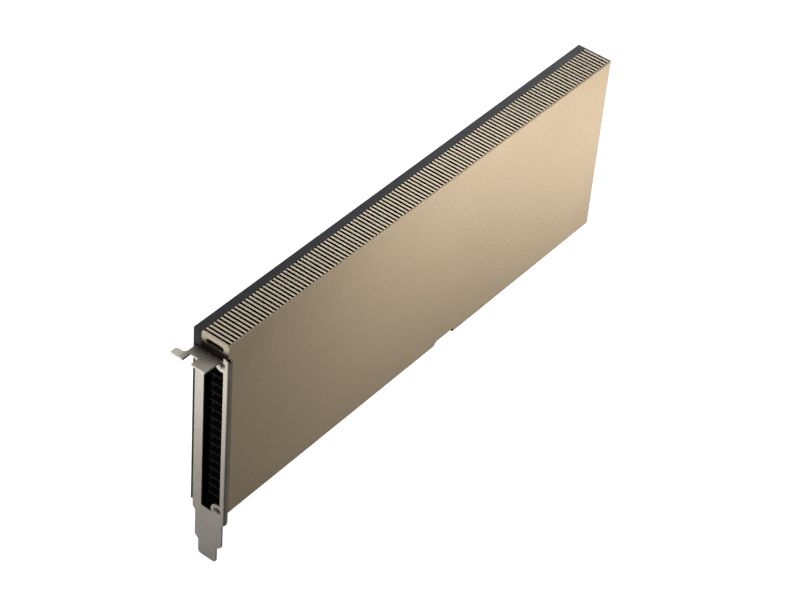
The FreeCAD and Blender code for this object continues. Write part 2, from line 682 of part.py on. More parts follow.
def make_bracket():
    body = new_body("bracket")
    outside = "bend_inside + sheet_gauge"

    # The side fold is an angle whose long leg goes over into the flat plate.
    fold = new_sketch(body, "XY_Plane", "card_height - flange_foot")
    draw_outline(fold, [
        ("face_x", "front_y"),
        ("face_x + flange_reach", "front_y"),
        ("face_x + flange_reach", "front_y + sheet_gauge"),
        ("plate_x", "front_y + sheet_gauge"),
        ("plate_x", "front_y + fold_leg"),
        ("face_x", "front_y + fold_leg"),
    ])
    add_pad(body, fold, "flange_foot - corner_drop")
    add_round(body, "Fillet", outside, lambda p, d: (
        upright(d) and near(p.x, "face_x") and near(p.y, "front_y")))
    add_round(body, "Fillet", "bend_inside", lambda p, d: (
        upright(d) and near(p.x, "plate_x") and near(p.y, "front_y + sheet_gauge")))
    add_round(body, "Fillet", "flange_round", lambda p, d: (
        crosswise(d) and near(p.x, "face_x + flange_reach")
        and near(p.z, "card_height - flange_foot")))
    above = new_sketch(body, "XZ_Plane", "-front_y")
    draw_outline(above, [
        ("face_x + flange_reach + cut_past", "card_height - flange_drop"),
        ("plate_x + bend_inside", "card_height - flange_drop"),
        ("plate_x", "card_height - flange_drop + bend_inside"),
        ("plate_x", "card_height"),
        ("face_x + flange_reach + cut_past", "card_height"),
    ])
    add_pocket(body, above, "fold_leg + cut_past")
    corner = new_sketch(body, "YZ_Plane", "face_x")
    draw_outline(corner, [
        ("front_y - cut_past", "card_height - corner_drop - corner_bevel - cut_past"),
        ("front_y + corner_bevel + cut_past", "card_height - corner_drop + cut_past"),
        ("front_y - cut_past", "card_height - corner_drop + cut_past"),
    ])
    add_pocket(body, corner, "sheet_gauge + cut_past", True)

    # The tab fold, drawn from the side and as wide as the tab.
    outer = "face_x - tab_reach"
    tab = new_sketch(body, "XZ_Plane", "-front_y - tab_far")
    draw_outline(tab, [
        (outer, "tab_z"),
        ("plate_x", "tab_z"),
        ("plate_x", "tab_z - fold_leg"),
        ("face_x", "tab_z - fold_leg"),
        ("face_x", "tab_z - sheet_gauge"),
        (outer, "tab_z - sheet_gauge"),
    ])
    add_pad(body, tab, "tab_far - tab_near")
    add_round(body, "Fillet", outside, lambda p, d: (
        crosswise(d) and near(p.x, "plate_x") and near(p.z, "tab_z")))
    add_round(body, "Fillet", "bend_inside", lambda p, d: (
        crosswise(d) and near(p.x, "face_x") and near(p.z, "tab_z - sheet_gauge")))
    ear = new_sketch(body, "XY_Plane", "tab_z - sheet_gauge")
    draw_rectangle(ear, outer, outer + " + tab_ear_depth",
                   "front_y + tab_far - cut_past", "front_y + tab_ear_far")
    add_pad(body, ear, "sheet_gauge")
    slot = new_sketch(body, "XY_Plane", "tab_z")
    draw_rectangle(slot, outer + " - cut_past", outer + " + tab_slot_depth",
                   "front_y + tab_slot_near", "front_y + tab_slot_near + tab_slot_width")
    add_pocket(body, slot, "sheet_gauge + cut_past")
    add_round(body, "Fillet", "tab_ear_round", lambda p, d: (
        upright(d) and near(p.y, "front_y + tab_ear_far")
        and near(p.x, outer + " + tab_ear_depth")))
    add_round(body, "Fillet", "tab_ear_hollow", lambda p, d: (
        upright(d) and near(p.y, "front_y + tab_far") and near(p.x, outer + " + tab_ear_depth")))
    add_round(body, "Fillet", "tab_corner_round", lambda p, d: (
        upright(d) and near(p.x, outer) and (
            near(p.y, "front_y + tab_near") or near(p.y, "front_y + tab_ear_far"))))

    plate = new_sketch(body, "YZ_Plane", "face_x")
    draw_outline(plate, [
        ("front_y + fold_leg", "card_height - corner_drop"),
        ("front_y + fold_leg", "card_height - flange_foot"),
        ("front_y + lower_setback", "card_height - flange_foot"),
        ("front_y + lower_setback", "card_height - shoulder_drop"),
        ("front_y + tongue_near", "card_height - shoulder_drop - tongue_near + lower_setback"),
        ("front_y + tongue_near", "tip_z"),
        ("front_y + tongue_near + tongue_width", "tip_z"),
        ("front_y + tongue_near + tongue_width", "card_height - taper_drop - taper_height"),
        ("front_y + bracket_width - step_width", "card_height - taper_drop"),
        ("front_y + bracket_width - step_width", "card_height - step_drop - step_height"),
        ("front_y + bracket_width", "card_height - step_drop"),
        ("front_y + bracket_width", "tab_z - fold_leg"),
        ("front_y + tab_near", "tab_z - fold_leg"),
        ("front_y + tab_near", "tab_z - sheet_gauge - bend_inside"),
        ("front_y + tab_near - relief_width", "tab_z - sheet_gauge - bend_inside"),
        ("front_y + tab_near - relief_width", "card_height - corner_drop"),
    ])
    add_pad(body, plate, "sheet_gauge")
    add_round(body, "Fillet", "tongue_round", lambda p, d: (
        lengthwise(d) and near(p.z, "tip_z")))
    add_round(body, "Fillet", "shoulder_round", lambda p, d: (
        lengthwise(d) and near(p.y, "front_y + lower_setback")
        and near(p.z, "card_height - shoulder_drop")))

    # The window leaves a round ear about each screw.
    window = new_sketch(body, "YZ_Plane", "face_x")
    draw_window(window, "front_y + window_near", "front_y + window_far",
                "card_height - window_foot", "card_height - window_top", "ear_radius")
    add_pocket(body, window, "sheet_gauge + cut_past", True)
    add_round(body, "Fillet", "window_round", lambda p, d: (
        lengthwise(d) and near(p.y, "front_y + window_far")
        and number("card_height - window_foot") - 0.1 < p.z < number("tab_z") - 1))
    for middle in ("upper_screw_z", "lower_screw_z"):
        add_turn(body, "Groove", "XZ_Plane", "-bracket_screw_y",
                 ("face_x", middle), (1, 0), [
                     ("-cut_past", "0"),
                     ("-cut_past", "bracket_head_radius + cut_past"),
                     ("sheet_gauge + cut_past", "bracket_shaft - cut_past"),
                     ("sheet_gauge + cut_past", "0"),
                 ])
    return body


def make_bracket_screws():
    """Two countersunk screws with a cross recess, side by side in height."""
    body = new_body("bracket_screws")
    screw = add_turn(body, "Revolution", "XZ_Plane", "-bracket_screw_y",
                     ("face_x", "upper_screw_z"), (1, 0), [
                         ("bracket_screw_sink", "0"),
                         ("bracket_screw_sink", "bracket_head_radius - bracket_screw_sink"),
                         ("sheet_gauge", "bracket_shaft"),
                         ("sheet_gauge + bracket_screw_length", "bracket_shaft"),
                         ("sheet_gauge + bracket_screw_length", "0"),
                     ])
    recess = new_sketch(body, "YZ_Plane", "face_x + bracket_screw_sink")
    arm = "recess_length / 2"
    half = "recess_width / 2"
    corners = []
    for a, b in ((half, arm), ("-" + half, arm), ("-" + half, half), ("-" + arm, half),
                 ("-" + arm, "-" + half), ("-" + half, "-" + half), ("-" + half, "-" + arm),
                 (half, "-" + arm), (half, "-" + half), (arm, "-" + half), (arm, half),
                 (half, half)):
        corners.append(("bracket_screw_y + " + a, "upper_screw_z + " + b))
    draw_outline(recess, corners)
    cross = add_pocket(body, recess, "recess_depth", True)
    row = add_row(body, screw, "Z_Axis", "2", "upper_screw_z - lower_screw_z")
    row.Originals = [screw, cross]
    row.Reversed = True
    return body


def make_mounting_frame():
    """Black frame behind the bracket plate, with the threads of the bracket screws."""
    body = new_body("mounting_frame")
    ring = new_sketch(body, "YZ_Plane", "plate_x")
    foot = "card_height - frame_foot"
    draw_outline(ring, [
        ("frame_front", "ledge_z"),
        ("frame_front", "cover_foot"),
        ("front_y + frame_side", "cover_foot"),
        ("front_y + frame_side", foot),
        ("board_front", foot),
        ("board_front", "ledge_z"),
    ])
    add_pad(body, ring, "frame_depth")
    add_round(body, "Chamfer", "bend_inside", lambda p, d: (
        upright(d) and near(p.x, "plate_x") and near(p.y, "frame_front")))
    window = new_sketch(body, "YZ_Plane", "plate_x")
    draw_window(window, "front_y + window_near - frame_window_margin",
                "front_y + window_far + frame_window_margin",
                "card_height - window_foot - frame_window_margin",
                "card_height - window_top + frame_window_margin",
                "ear_radius - frame_window_margin")
    add_pocket(body, window, "frame_depth + cut_past", True)
    sill = new_sketch(body, "YZ_Plane", "plate_x")
    draw_rectangle(sill, "front_y + frame_side", "board_front",
                   foot, "cavity_foot + fit_gap")
    add_pad(body, sill, "frame_depth")
    for middle in ("upper_screw_z", "lower_screw_z"):
        hole = new_sketch(body, "YZ_Plane", "plate_x")
        draw_circle(hole, "bracket_screw_y", middle, "bracket_shaft")
        add_pocket(body, hole, "frame_depth + cut_past", True)
    return body


# Circuit board and what is soldered to it.

def board_holes(body, plane_y, radius, depth):
    """Two rows of holes for the board screws, cut towards the front."""
    for row in ("upper_row", "lower_row"):
        hole = new_sketch(body, "XZ_Plane", plane_y)
        draw_circle(hole, "face_x + boss_first", row, radius)
        pocket = add_pocket(body, hole, depth, True)
        add_row(body, pocket, "X_Axis", "boss_count", "boss_pitch")


def make_circuit_board():
    body = new_body("circuit_board")
    outline = new_sketch(body, "XZ_Plane", "-board_back")
    key = "key_width / 2"
    hook = key + " + long_tab + hook_gap"
    draw_outline(outline, [
        ("board_near", "edge_tab_height"),
        ("-%s - short_tab" % key, "edge_tab_height"),
        ("-%s - short_tab" % key, "0"),
        ("-" + key, "0"),
        ("-" + key, "key_depth"),
        (key, "key_depth"),
        (key, "0"),
        (key + " + long_tab", "0"),
        (key + " + long_tab", "edge_tab_height"),
        (hook, "edge_tab_height"),
        (hook, "hook_foot"),
        (hook + " + hook_width", "hook_foot"),
        (hook + " + hook_width", "edge_tab_height"),
        ("board_far", "edge_tab_height"),
        ("board_far", "board_top"),
        ("board_near", "board_top"),
    ])
    add_pad(body, outline, "board_thickness")
    add_round(body, "Chamfer", "edge_bevel", lambda p, d: lengthwise(d) and near(p.z, "0"))
    board_holes(body, "-board_back", "small_screw_hole", "board_thickness + cut_past")
    return body


def make_edge_contacts(label, level, reverse):
    """Gold contact strips on one side of the edge tab, on both sides of the key."""
    body = new_body(label)
    key = "key_width / 2"
    for start, count in (("-%s - short_tab + contact_margin" % key, "short_contacts"),
                         (key + " + contact_margin", "long_contacts")):
        strip = new_sketch(body, "XZ_Plane", level)
        draw_rectangle(strip, start + " - contact_width / 2", start + " + contact_width / 2",
                       "contact_foot", "contact_foot + contact_height")
        pad = add_pad(body, strip, "contact_thickness", reverse)
        add_row(body, pad, "X_Axis", count, "contact_pitch")
    return body


def add_chip(body, left, right, low, high, thickness, base="board_front"):
    """Flat block that stands on the component side of the board."""
    sketch = new_sketch(body, "XZ_Plane", "-(%s)" % base)
    draw_rectangle(sketch, left, right, low, high)
    return add_pad(body, sketch, thickness)


def add_centred_chip(body, middle_x, middle_z, length, height, thickness, base="board_front"):
    return add_chip(body,
                    "%s - (%s) / 2" % (middle_x, length), "%s + (%s) / 2" % (middle_x, length),
                    "%s - (%s) / 2" % (middle_z, height), "%s + (%s) / 2" % (middle_z, height),
                    thickness, base)


def make_processor():
    """Package substrate, die and the stiffening frame around the die."""
    made = []
    substrate = new_body("processor_substrate")
    add_centred_chip(substrate, "processor_x", "processor_z",
                     "substrate_side", "substrate_side", "substrate_thickness")
    made.append(substrate)
    top = "board_front - substrate_thickness"
    die = new_body("processor_die")
    add_centred_chip(die, "processor_x", "processor_z", "die_side", "die_side",
                     "die_thickness", top)
    made.append(die)
    frame = new_body("processor_frame")
    add_centred_chip(frame, "processor_x", "processor_z", "substrate_side", "substrate_side",
                     "package_frame_thickness", top)
    inner = new_sketch(frame, "XZ_Plane", "-(%s)" % top)
    reach = "(substrate_side / 2 - package_frame_width)"
    draw_rectangle(inner, "processor_x - " + reach, "processor_x + " + reach,
                   "processor_z - " + reach, "processor_z + " + reach)
    add_pocket(frame, inner, "package_frame_thickness + cut_past", True)
    made.append(frame)
    return made


def make_memory(label, thickness, base):
    """Twelve blocks around the processor: two upright rows and one level row."""
    body = new_body(label)
    lowest = "processor_z - memory_pitch * (memory_count - 1) / 2"
    leftmost = "processor_x - memory_pitch * (memory_count - 1) / 2"
    for side in "-+":
        chip = add_centred_chip(body, "processor_x %s memory_offset" % side, lowest,
                                "memory_short", "memory_long", thickness, base)
        add_row(body, chip, "Z_Axis", "memory_count", "memory_pitch")
    chip = add_centred_chip(body, leftmost, "memory_row_z",
                            "memory_long", "memory_short", thickness, base)
    add_row(body, chip, "X_Axis", "memory_count", "memory_pitch")
    return body


def make_power_row(label, middle_x, length, height, thickness, base="board_front"):
    """Upright row of equal blocks of the supply stage."""
    body = new_body(label)
    chip = add_centred_chip(body, middle_x, "power_z", length, height, thickness, base)
    add_row(body, chip, "Z_Axis", "power_rows", "power_pitch")
    return body


def make_control_chips():
    body = new_body("control_chips")
    for middle_x, count in (("control_near_x", "control_near_count"),
                            ("control_far_x", "control_far_count")):
        chip = add_centred_chip(body, middle_x, "control_z",
                                "small_chip_side", "small_chip_side", "small_chip_thickness")
        add_row(body, chip, "Z_Axis", count, "control_pitch")
    return body


def make_ceramic_capacitors():
    """Small blocks on the solder side, behind the processor."""
    body = new_body("ceramic_capacitors")
    sketch = new_sketch(body, "XZ_Plane", "-board_back")
    start_x = "processor_x - decoupling_pitch * (decoupling_rows - 1) / 2"
    start_z = "processor_z - decoupling_pitch * (decoupling_rows - 1) / 2"
    draw_rectangle(sketch,
                   start_x + " - decoupling_length / 2", start_x + " + decoupling_length / 2",
                   start_z + " - decoupling_width / 2", start_z + " + decoupling_width / 2")
    block = add_pad(body, sketch, "decoupling_width", True)
    grid = add_row(body, block, "X_Axis", "decoupling_rows", "decoupling_pitch")
    widen_row(body, grid, "Z_Axis", "decoupling_rows", "decoupling_pitch")
    return body


# Power connector of the far end.

def make_power_connector():
    body = new_body("power_connector")
    sketch = new_sketch(body, "YZ_Plane", "plug_near")
    draw_rectangle(sketch, "plug_y", "board_front", "plug_foot", "plug_foot + plug_width")
    add_pad(body, sketch, "plug_depth")
    latch = new_sketch(body, "YZ_Plane", "plug_far - plug_latch_depth")
    draw_rectangle(latch, "plug_y - plug_latch_height", "plug_y",
                   "plug_z - plug_latch_width / 2", "plug_z + plug_latch_width / 2")
    add_pad(body, latch, "plug_latch_depth")
    for middle_y in ("plug_row_low", "plug_row_high"):
        cavity = new_sketch(body, "YZ_Plane", "plug_far")
        draw_rectangle(cavity, middle_y + " - plug_cavity / 2", middle_y + " + plug_cavity / 2",
                       "plug_first - plug_cavity / 2", "plug_first + plug_cavity / 2")
        pocket = add_pocket(body, cavity, "plug_cavity_depth")
        add_row(body, pocket, "Z_Axis", "plug_columns", "plug_pitch")
    return body


def make_power_pins():
    body = new_body("power_pins")
    for middle_y in ("plug_row_low", "plug_row_high"):
        pin = new_sketch(body, "YZ_Plane", "plug_far - plug_cavity_depth")
        draw_rectangle(pin, middle_y + " - plug_pin / 2", middle_y + " + plug_pin / 2",
                       "plug_first - plug_pin / 2", "plug_first + plug_pin / 2")
        pad = add_pad(body, pin, "plug_pin_length")
        add_row(body, pad, "Z_Axis", "plug_columns", "plug_pitch")
    return body


# Heat sink: a stepped base with bosses, and level fins along the whole air path.

def make_heat_sink_base():
    body = new_body("heat_sink_base")
    section = new_sketch(body, "XY_Plane", "base_foot")
    draw_outline(section, [
        ("sink_near", "base_y"),
        ("base_step", "base_y"),
        ("base_step + base_ramp", "high_y"),
        ("base_far", "high_y"),
        ("base_far", "high_back"),
        ("base_step + base_ramp", "high_back"),
        ("base_step", "base_back"),
        ("sink_near", "base_back"),
    ])
    add_pad(body, section, "base_top - base_foot")
    return body


def make_heat_sink_fins():
    body = new_body("heat_sink_fins")
    outline = new_sketch(body, "XY_Plane", "fin_first - fin_thickness / 2")
    draw_outline(outline, [
        ("fin_near", "base_back"),
        ("base_step", "base_back"),
        ("base_step + base_ramp", "high_back"),
        ("fin_far", "high_back"),
        ("fin_far", "fin_tip"),
        ("sink_near", "fin_tip"),
        ("sink_near", "front_y + window_near + fit_gap"),
        ("fin_near", "front_y + window_near + fit_gap"),
    ])
    fin = add_pad(body, outline, "fin_thickness")
    add_row(body, fin, "Z_Axis", "fin_count", "fin_pitch")
    clear = new_sketch(body, "XY_Plane", "card_height")
    draw_rectangle(clear, "face_x", "sink_near", "front_y", "board_front")
    add_pocket(body, clear, "upper_screw_drop + ear_radius + fit_gap")
    return body


# Solder side: film, backplate and the board screws.

def make_insulating_film():
    film = doc.addObject("Part::Box", "insulating_film")
    film.Label = "insulating_film"
    bind(film, "Length", "base_far - sink_near")
    bind(film, "Width", "film_thickness")
    bind(film, "Height", "base_top - film_foot")
    bind(film, "Placement.Base.x", "sink_near")
    bind(film, "Placement.Base.y", "back_inner - film_thickness")
    bind(film, "Placement.Base.z", "film_foot")
    return film


def make_backplate():
    """Cast plate that wraps the top, near and far edges of the board."""
    body = new_body("backplate")
    edge = "board_front + fit_gap"
    wall = new_sketch(body, "XZ_Plane", "-back_y")
    draw_rectangle(wall, "plate_x", "far_x", "backplate_foot", "card_height")
    add_pad(body, wall, "back_wall")
    top = new_sketch(body, "XY_Plane", "card_height - top_flange")
    draw_rectangle(top, "plate_x", "far_x", edge, "back_y")
    add_pad(body, top, "top_flange")
    near_side = new_sketch(body, "YZ_Plane", "plate_x")
    draw_rectangle(near_side, edge, "back_y", "backplate_foot", "card_height")
    add_pad(body, near_side, "near_flange")
    head = new_sketch(body, "YZ_Plane", "face_x")
    draw_rectangle(head, edge, "back_y", "ledge_z", "card_height")
    add_pad(body, head, "sheet_gauge")
    lip = new_sketch(body, "YZ_Plane", "face_x")
    draw_rectangle(lip, "front_y + bracket_width + fit_gap", "back_y",
                   "backplate_foot", "card_height")
    add_pad(body, lip, "sheet_gauge")
    far_side = new_sketch(body, "YZ_Plane", "far_x - end_flange")
    draw_rectangle(far_side, "cavity_y + fit_gap", "back_y",
                   "cover_foot", "card_height")
    add_pad(body, far_side, "end_flange")

    # Openings of the far end: air window, power connector and extender holes.
    air = new_sketch(body, "YZ_Plane", "far_x")
    draw_rectangle(air, "front_y + air_window_side", "board_front - fit_gap",
                   "cover_foot + air_window_margin", "plug_foot - air_window_web")
    add_pocket(body, air, "end_flange + cut_past")
    plug = new_sketch(body, "YZ_Plane", "far_x")
    draw_outline(plug, [
        ("board_front + fit_gap", "plug_foot - plug_gap"),
        ("board_front + fit_gap", "plug_foot + plug_width + plug_gap"),
        ("plug_y - plug_gap", "plug_foot + plug_width + plug_gap"),
        ("plug_y - plug_gap", "plug_z + plug_latch_width / 2 + plug_gap"),
        ("plug_y - plug_latch_height - plug_gap", "plug_z + plug_latch_width / 2 + plug_gap"),
        ("plug_y - plug_latch_height - plug_gap", "plug_z - plug_latch_width / 2 - plug_gap"),
        ("plug_y - plug_gap", "plug_z - plug_latch_width / 2 - plug_gap"),
        ("plug_y - plug_gap", "plug_foot - plug_gap"),
    ])
    add_pocket(body, plug, "end_flange + cut_past")
    for middle in ("extender_top_z", "extender_low_z"):
        hole = new_sketch(body, "YZ_Plane", "far_x")
        draw_circle(hole, "extender_y", middle, "extender_radius")
        add_pocket(body, hole, "end_flange + cut_past")

    # Spacing bosses between the wall and the board, with countersunk screw holes.
    for row in ("upper_row", "lower_row"):
        boss = new_sketch(body, "XZ_Plane", "-back_inner")
        draw_rectangle(boss, "face_x + boss_first - back_boss_width / 2",
                       "face_x + boss_first + back_boss_width / 2",
                       row + " - back_boss_width / 2", row + " + back_boss_width / 2")
        pad = add_pad(body, boss, "solder_height - back_wall")
        add_row(body, pad, "X_Axis", "boss_count", "boss_pitch")
        sink = add_turn(body, "Groove", "XY_Plane", row,
                        ("face_x + boss_first", "back_y"), (0, 1), [
                            ("0", "cut_past"),
                            ("board_head_radius", "cut_past"),
                            ("board_head_radius", "0"),
                            ("small_screw_hole", "small_screw_hole - board_head_radius"),
                            ("small_screw_hole", "-solder_height - cut_past"),
                            ("0", "-solder_height - cut_past"),
                        ])
        add_row(body, sink, "X_Axis", "boss_count", "boss_pitch")
    return body


def make_board_screws():
    body = new_body("board_screws")
    reach = "-solder_height - board_thickness - screw_engagement"
    screw = add_turn(body, "Revolution", "XY_Plane", "lower_row",
                     ("face_x + boss_first", "back_y"), (0, 1), [
                         ("0", "0"),
                         ("board_head_radius", "0"),
                         ("small_screw_radius", "small_screw_radius - board_head_radius"),
                         ("small_screw_radius", reach),
                         ("0", reach),
                     ])
    grid = add_row(body, screw, "X_Axis", "boss_count", "boss_pitch")
    widen_row(body, grid, "Z_Axis", "2", "upper_row - lower_row")
    return body


# The whole card, one function call per piece.

pieces = [
    make_cover(),
    make_top_rail(),
    make_foot_rail(),
    make_bracket(),
    make_bracket_screws(),
    make_mounting_frame(),
    make_circuit_board(),
    make_edge_contacts("edge_contacts_front", "-board_front", False),
    make_edge_contacts("edge_contacts_rear", "-board_back", True),
]
pieces += make_processor()
pieces += [
    make_memory("memory_chips", "memory_thickness", "board_front"),
    make_memory("memory_pads", "base_lift - memory_thickness",
                "board_front - memory_thickness"),
    make_power_row("power_stages", "stage_x", "stage_length", "stage_width",
                   "stage_thickness"),
    make_power_row("inductors", "choke_x", "choke_side", "choke_side", "choke_height"),
    make_power_row("inductor_pads", "choke_x", "choke_side", "choke_side",
                   "high_lift - choke_height", "board_front - choke_height"),
    make_power_row("polymer_capacitors", "block_x", "block_length", "block_width",
                   "block_height"),
    make_control_chips(),
    make_ceramic_capacitors(),
    make_power_connector(),
    make_power_pins(),
    make_heat_sink_base(),
    make_heat_sink_fins(),
    make_insulating_film(),
    make_backplate(),
    make_board_screws(),
]

doc.recompute()
for item in doc.Objects:
    if "Invalid" in item.State or "Error" in item.State:
        raise RuntimeError("%s did not build: %s" % (item.Label, item.State))
os.makedirs("parts", exist_ok=True)
for piece in pieces:
    shape = piece.Shape
    if shape.isNull() or not shape.isValid():
        raise RuntimeError(piece.Label + " has no valid shape")
for piece in pieces:
    shape = piece.Shape
    shape.exportStep(os.path.join("parts", piece.Label + ".step"))
    print("%-22s %3d solids %10.1f mm3" % (piece.Label, len(shape.Solids), shape.Volume))
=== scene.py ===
"""Looks of a passive accelerator card, built round its packed solids."""
import math

import bmesh
import bpy
from mathutils import Matrix, Vector


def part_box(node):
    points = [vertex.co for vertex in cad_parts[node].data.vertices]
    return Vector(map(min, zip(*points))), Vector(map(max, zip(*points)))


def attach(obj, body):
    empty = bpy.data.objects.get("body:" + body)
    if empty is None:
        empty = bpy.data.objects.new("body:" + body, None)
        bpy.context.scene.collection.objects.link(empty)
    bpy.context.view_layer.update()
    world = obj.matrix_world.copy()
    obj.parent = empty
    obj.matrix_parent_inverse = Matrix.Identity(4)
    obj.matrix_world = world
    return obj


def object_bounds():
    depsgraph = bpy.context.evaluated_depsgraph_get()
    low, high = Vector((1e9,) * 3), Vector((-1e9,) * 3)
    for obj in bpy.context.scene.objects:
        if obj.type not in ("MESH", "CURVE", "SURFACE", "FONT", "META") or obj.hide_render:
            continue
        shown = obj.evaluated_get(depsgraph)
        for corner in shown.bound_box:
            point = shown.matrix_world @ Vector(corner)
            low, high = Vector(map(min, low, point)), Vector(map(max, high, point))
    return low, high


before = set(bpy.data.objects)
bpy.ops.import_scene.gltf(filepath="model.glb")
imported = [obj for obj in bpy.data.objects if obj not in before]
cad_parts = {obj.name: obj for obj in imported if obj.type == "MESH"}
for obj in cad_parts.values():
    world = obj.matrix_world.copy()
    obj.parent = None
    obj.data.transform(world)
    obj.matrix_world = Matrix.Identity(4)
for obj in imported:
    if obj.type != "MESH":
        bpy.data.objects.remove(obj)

bl_info = {
    "name": "Passive accelerator card",
    "version": (1, 0, 0),
    "blender": (4, 5, 0),
    "location": "View3D > Sidebar > Card",
    "description": "Finishes, small board parts, lights and camera of a passive accelerator card",
    "category": "Object",
}

PANEL_TAB = "Card"
CAD_LOW, CAD_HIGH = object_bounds()

# Where the cover's shades begin and end, worked out from the frame.
CARD_TOP = CAD_HIGH[2]
RAIL_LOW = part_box("top_rail")[0]
SHEET_BACK = RAIL_LOW[1] + 0.0001  # just behind the cover's front sheet
GROOVES_FROM = RAIL_LOW[0] - 0.0005  # just before the first groove of the rails
VENT_TOP = CARD_TOP - 0.00195  # the end wall has no shade from here up
VENT_FOOT = CARD_TOP - 0.00535  # and its full shade from here down

# The camera stands where the photograph was taken from: its right, up and back directions.
CAMERA_PLACE = Vector((-0.626347, -0.496814, 0.795229))
CAMERA_RIGHT = Vector((0.621879, -0.780254, 0.066859))
CAMERA_UP = Vector((0.485527, 0.451141, 0.748823))
CAMERA_BACK = Vector((-0.614435, -0.433215, 0.659390))
SENSOR_WIDTH = 36.0  # millimetres
CLIP_NEAR, CLIP_FAR = 0.01, 20.0

# Soft square lamps: name, place, point that it is turned to, side and angle of the beam.
LAMPS = (
    ("key", (0.12, -0.143, 0.176), (0.067, -0.015, 0.11), 0.12, 110.0),
    ("end", (0.238, -0.161, 0.04), (0.224, -0.015, 0.11), 0.08, 110.0),
    ("side", (-0.155, 0.0, 0.118), (-0.06, -0.005, 0.098), 0.06, 120.0),
    ("rim", (1.25, 0.24, 0.66), (0.07, 0.0, 0.11), 0.4, 60.0),
    ("fill", (0.2, 0.5, 0.9), (0.07, 0.0, 0.05), 0.7, 180.0),
)
FLOOR_REACH = 4.0  # from the middle of the floor to each side
FLOOR_GAP = 0.0003  # floor below the tip of the bracket
FLOOR_GREY = 0.42

# Colours that belong to a place on the card more than to a user's choice; most of them are
# painted shade.
PAINTED_CORNER_SHADE = (0.004, 0.003, 0.002)  # painted shade in deep corners and grooves
SHEET_UNDERSIDE_SHADE = (0.035, 0.026, 0.016)  # painted shade on the round lower edge of the cover's front sheet, where it looks down
SHEET_TOP_EDGE = (0.32, 0.25, 0.168)  # strip of the front sheet in front of the groove ends
# painted shadow on the near end wall below the vent
END_WALL_FOOT_SHADE = (0.012, 0.008, 0.005)
# painted shade on the walls of the rails' grooves
GROOVE_WALL_SHADE = (0.030, 0.020, 0.012)
SHEET_FLANK_SHADE = (0.093, 0.071, 0.050)  # painted shade on the side flange of the bracket and its cut flanks

END_CAP = 0.22  # share of a coupling capacitor's length
BODY_INSET = 0.04  # share of its width, as is the bevel
CAPACITOR_BEVEL = 0.08


# Sizes and colours that a user would change.

def colour_setting(name, description, default):
    """Colour of one finish, without transparency."""
    return bpy.props.FloatVectorProperty(
        name=name, description=description, default=default,
        subtype="COLOR", size=3, min=0.0, max=1.0)


def length_setting(name, description, default):
    """Length in metres."""
    return bpy.props.FloatProperty(
        name=name, description=description, default=default,
        min=0.0, unit="LENGTH", precision=5)


class CardFinishes(bpy.types.PropertyGroup):
    """Colours of the card's metals, plastics and laminates."""
    anodised: colour_setting(
        "Cover", "Champagne anodised aluminium of the cover", (0.398, 0.312, 0.208))
    anodised_pale: colour_setting(
        "Cover, pale", "Lighter patches of the same anodising", (0.412, 0.324, 0.218))
    milled: colour_setting(
        "Rails", "Milled and anodised rails of the cover", (0.59, 0.505, 0.38))
    milled_pale: colour_setting(
        "Rails, pale", "Lighter patches of the milled rails", (0.61, 0.525, 0.40))
    bare_edge: colour_setting(
        "Cover edge", "Machined edges of the cover", (0.60, 0.52, 0.40))
    sheet: colour_setting(
        "Bracket", "Plated steel sheet of the bracket", (0.69, 0.632, 0.548))
    # pale cut edges of the bracket: partly rubbed wear, partly a painted highlight along the
    # edges
    sheet_wear_and_glint: colour_setting(
        "Bracket edge", "Cut edges of the bracket sheet", (0.86, 0.82, 0.75))
    black_paint: colour_setting(
        "Backplate", "Black coating of the backplate", (0.013, 0.015, 0.017))
    black_worn: colour_setting(
        "Backplate edge", "Rubbed edges of the black coating", (0.060, 0.064, 0.068))
    solder_mask: colour_setting(
        "Board", "Solder mask of the circuit board", (0.012, 0.055, 0.030))
    board_edge: colour_setting(
        "Board edge", "Sawn glass laminate at the edges of the board", (0.30, 0.25, 0.12))
    contact: colour_setting(
        "Contacts", "Gold plating of the edge contacts", (0.83, 0.58, 0.22))


class CardDetails(bpy.types.PropertyGroup):
    """Sizes of the small board parts above the edge contacts."""
    capacitor_length: length_setting(
        "Capacitor length", "Length of a coupling capacitor", 0.0010)
    capacitor_width: length_setting(
        "Capacitor width", "Width and height of a coupling capacitor", 0.0005)
    capacitor_level: length_setting(
        "Capacitor level", "Height of the capacitor row above the contacts' foot", 0.0098)
    capacitor_pitch: length_setting(
        "Capacitor pitch", "Distance from one capacitor to the next", 0.0020)
    capacitor_count: bpy.props.IntProperty(
        name="Capacitors", description="Number of coupling capacitors in the row",
        default=32, min=1, max=64)


class CardStage(bpy.types.PropertyGroup):
    """Lamps, floor and lens of the studio."""
    lens: bpy.props.FloatProperty(
        name="Lens", description="Focal length of the camera",
        default=114.2, min=10.0, unit="CAMERA")
    key_power: bpy.props.FloatProperty(
        name="Key lamp", description="Power of the soft lamp in front of the cover",
        default=0.137, min=0.0, unit="POWER")
    end_power: bpy.props.FloatProperty(
        name="End lamp", description="Power of the small lamp in front of the far end",
        default=0.157, min=0.0, unit="POWER")
    side_power: bpy.props.FloatProperty(
        name="Side lamp", description="Power of the soft lamp beside the bracket",
        default=0.046, min=0.0, unit="POWER")
    rim_power: bpy.props.FloatProperty(
        name="Rim lamp", description="Power of the lamp well beyond the far end",
        default=2.1, min=0.0, unit="POWER")
    fill_power: bpy.props.FloatProperty(
        name="Fill lamp", description="Power of the wide lamp above and behind the card",
        default=0.3, min=0.0, unit="POWER")
    sky: bpy.props.FloatProperty(
        name="Surroundings", description="Strength of the surroundings as a light",
        default=0.02, min=0.0)
    floor_lift: bpy.props.FloatProperty(
        name="Floor lift", description="White added to the floor where it is seen",
        default=0.97, min=0.0)


# Shader groups shared by the finishes.

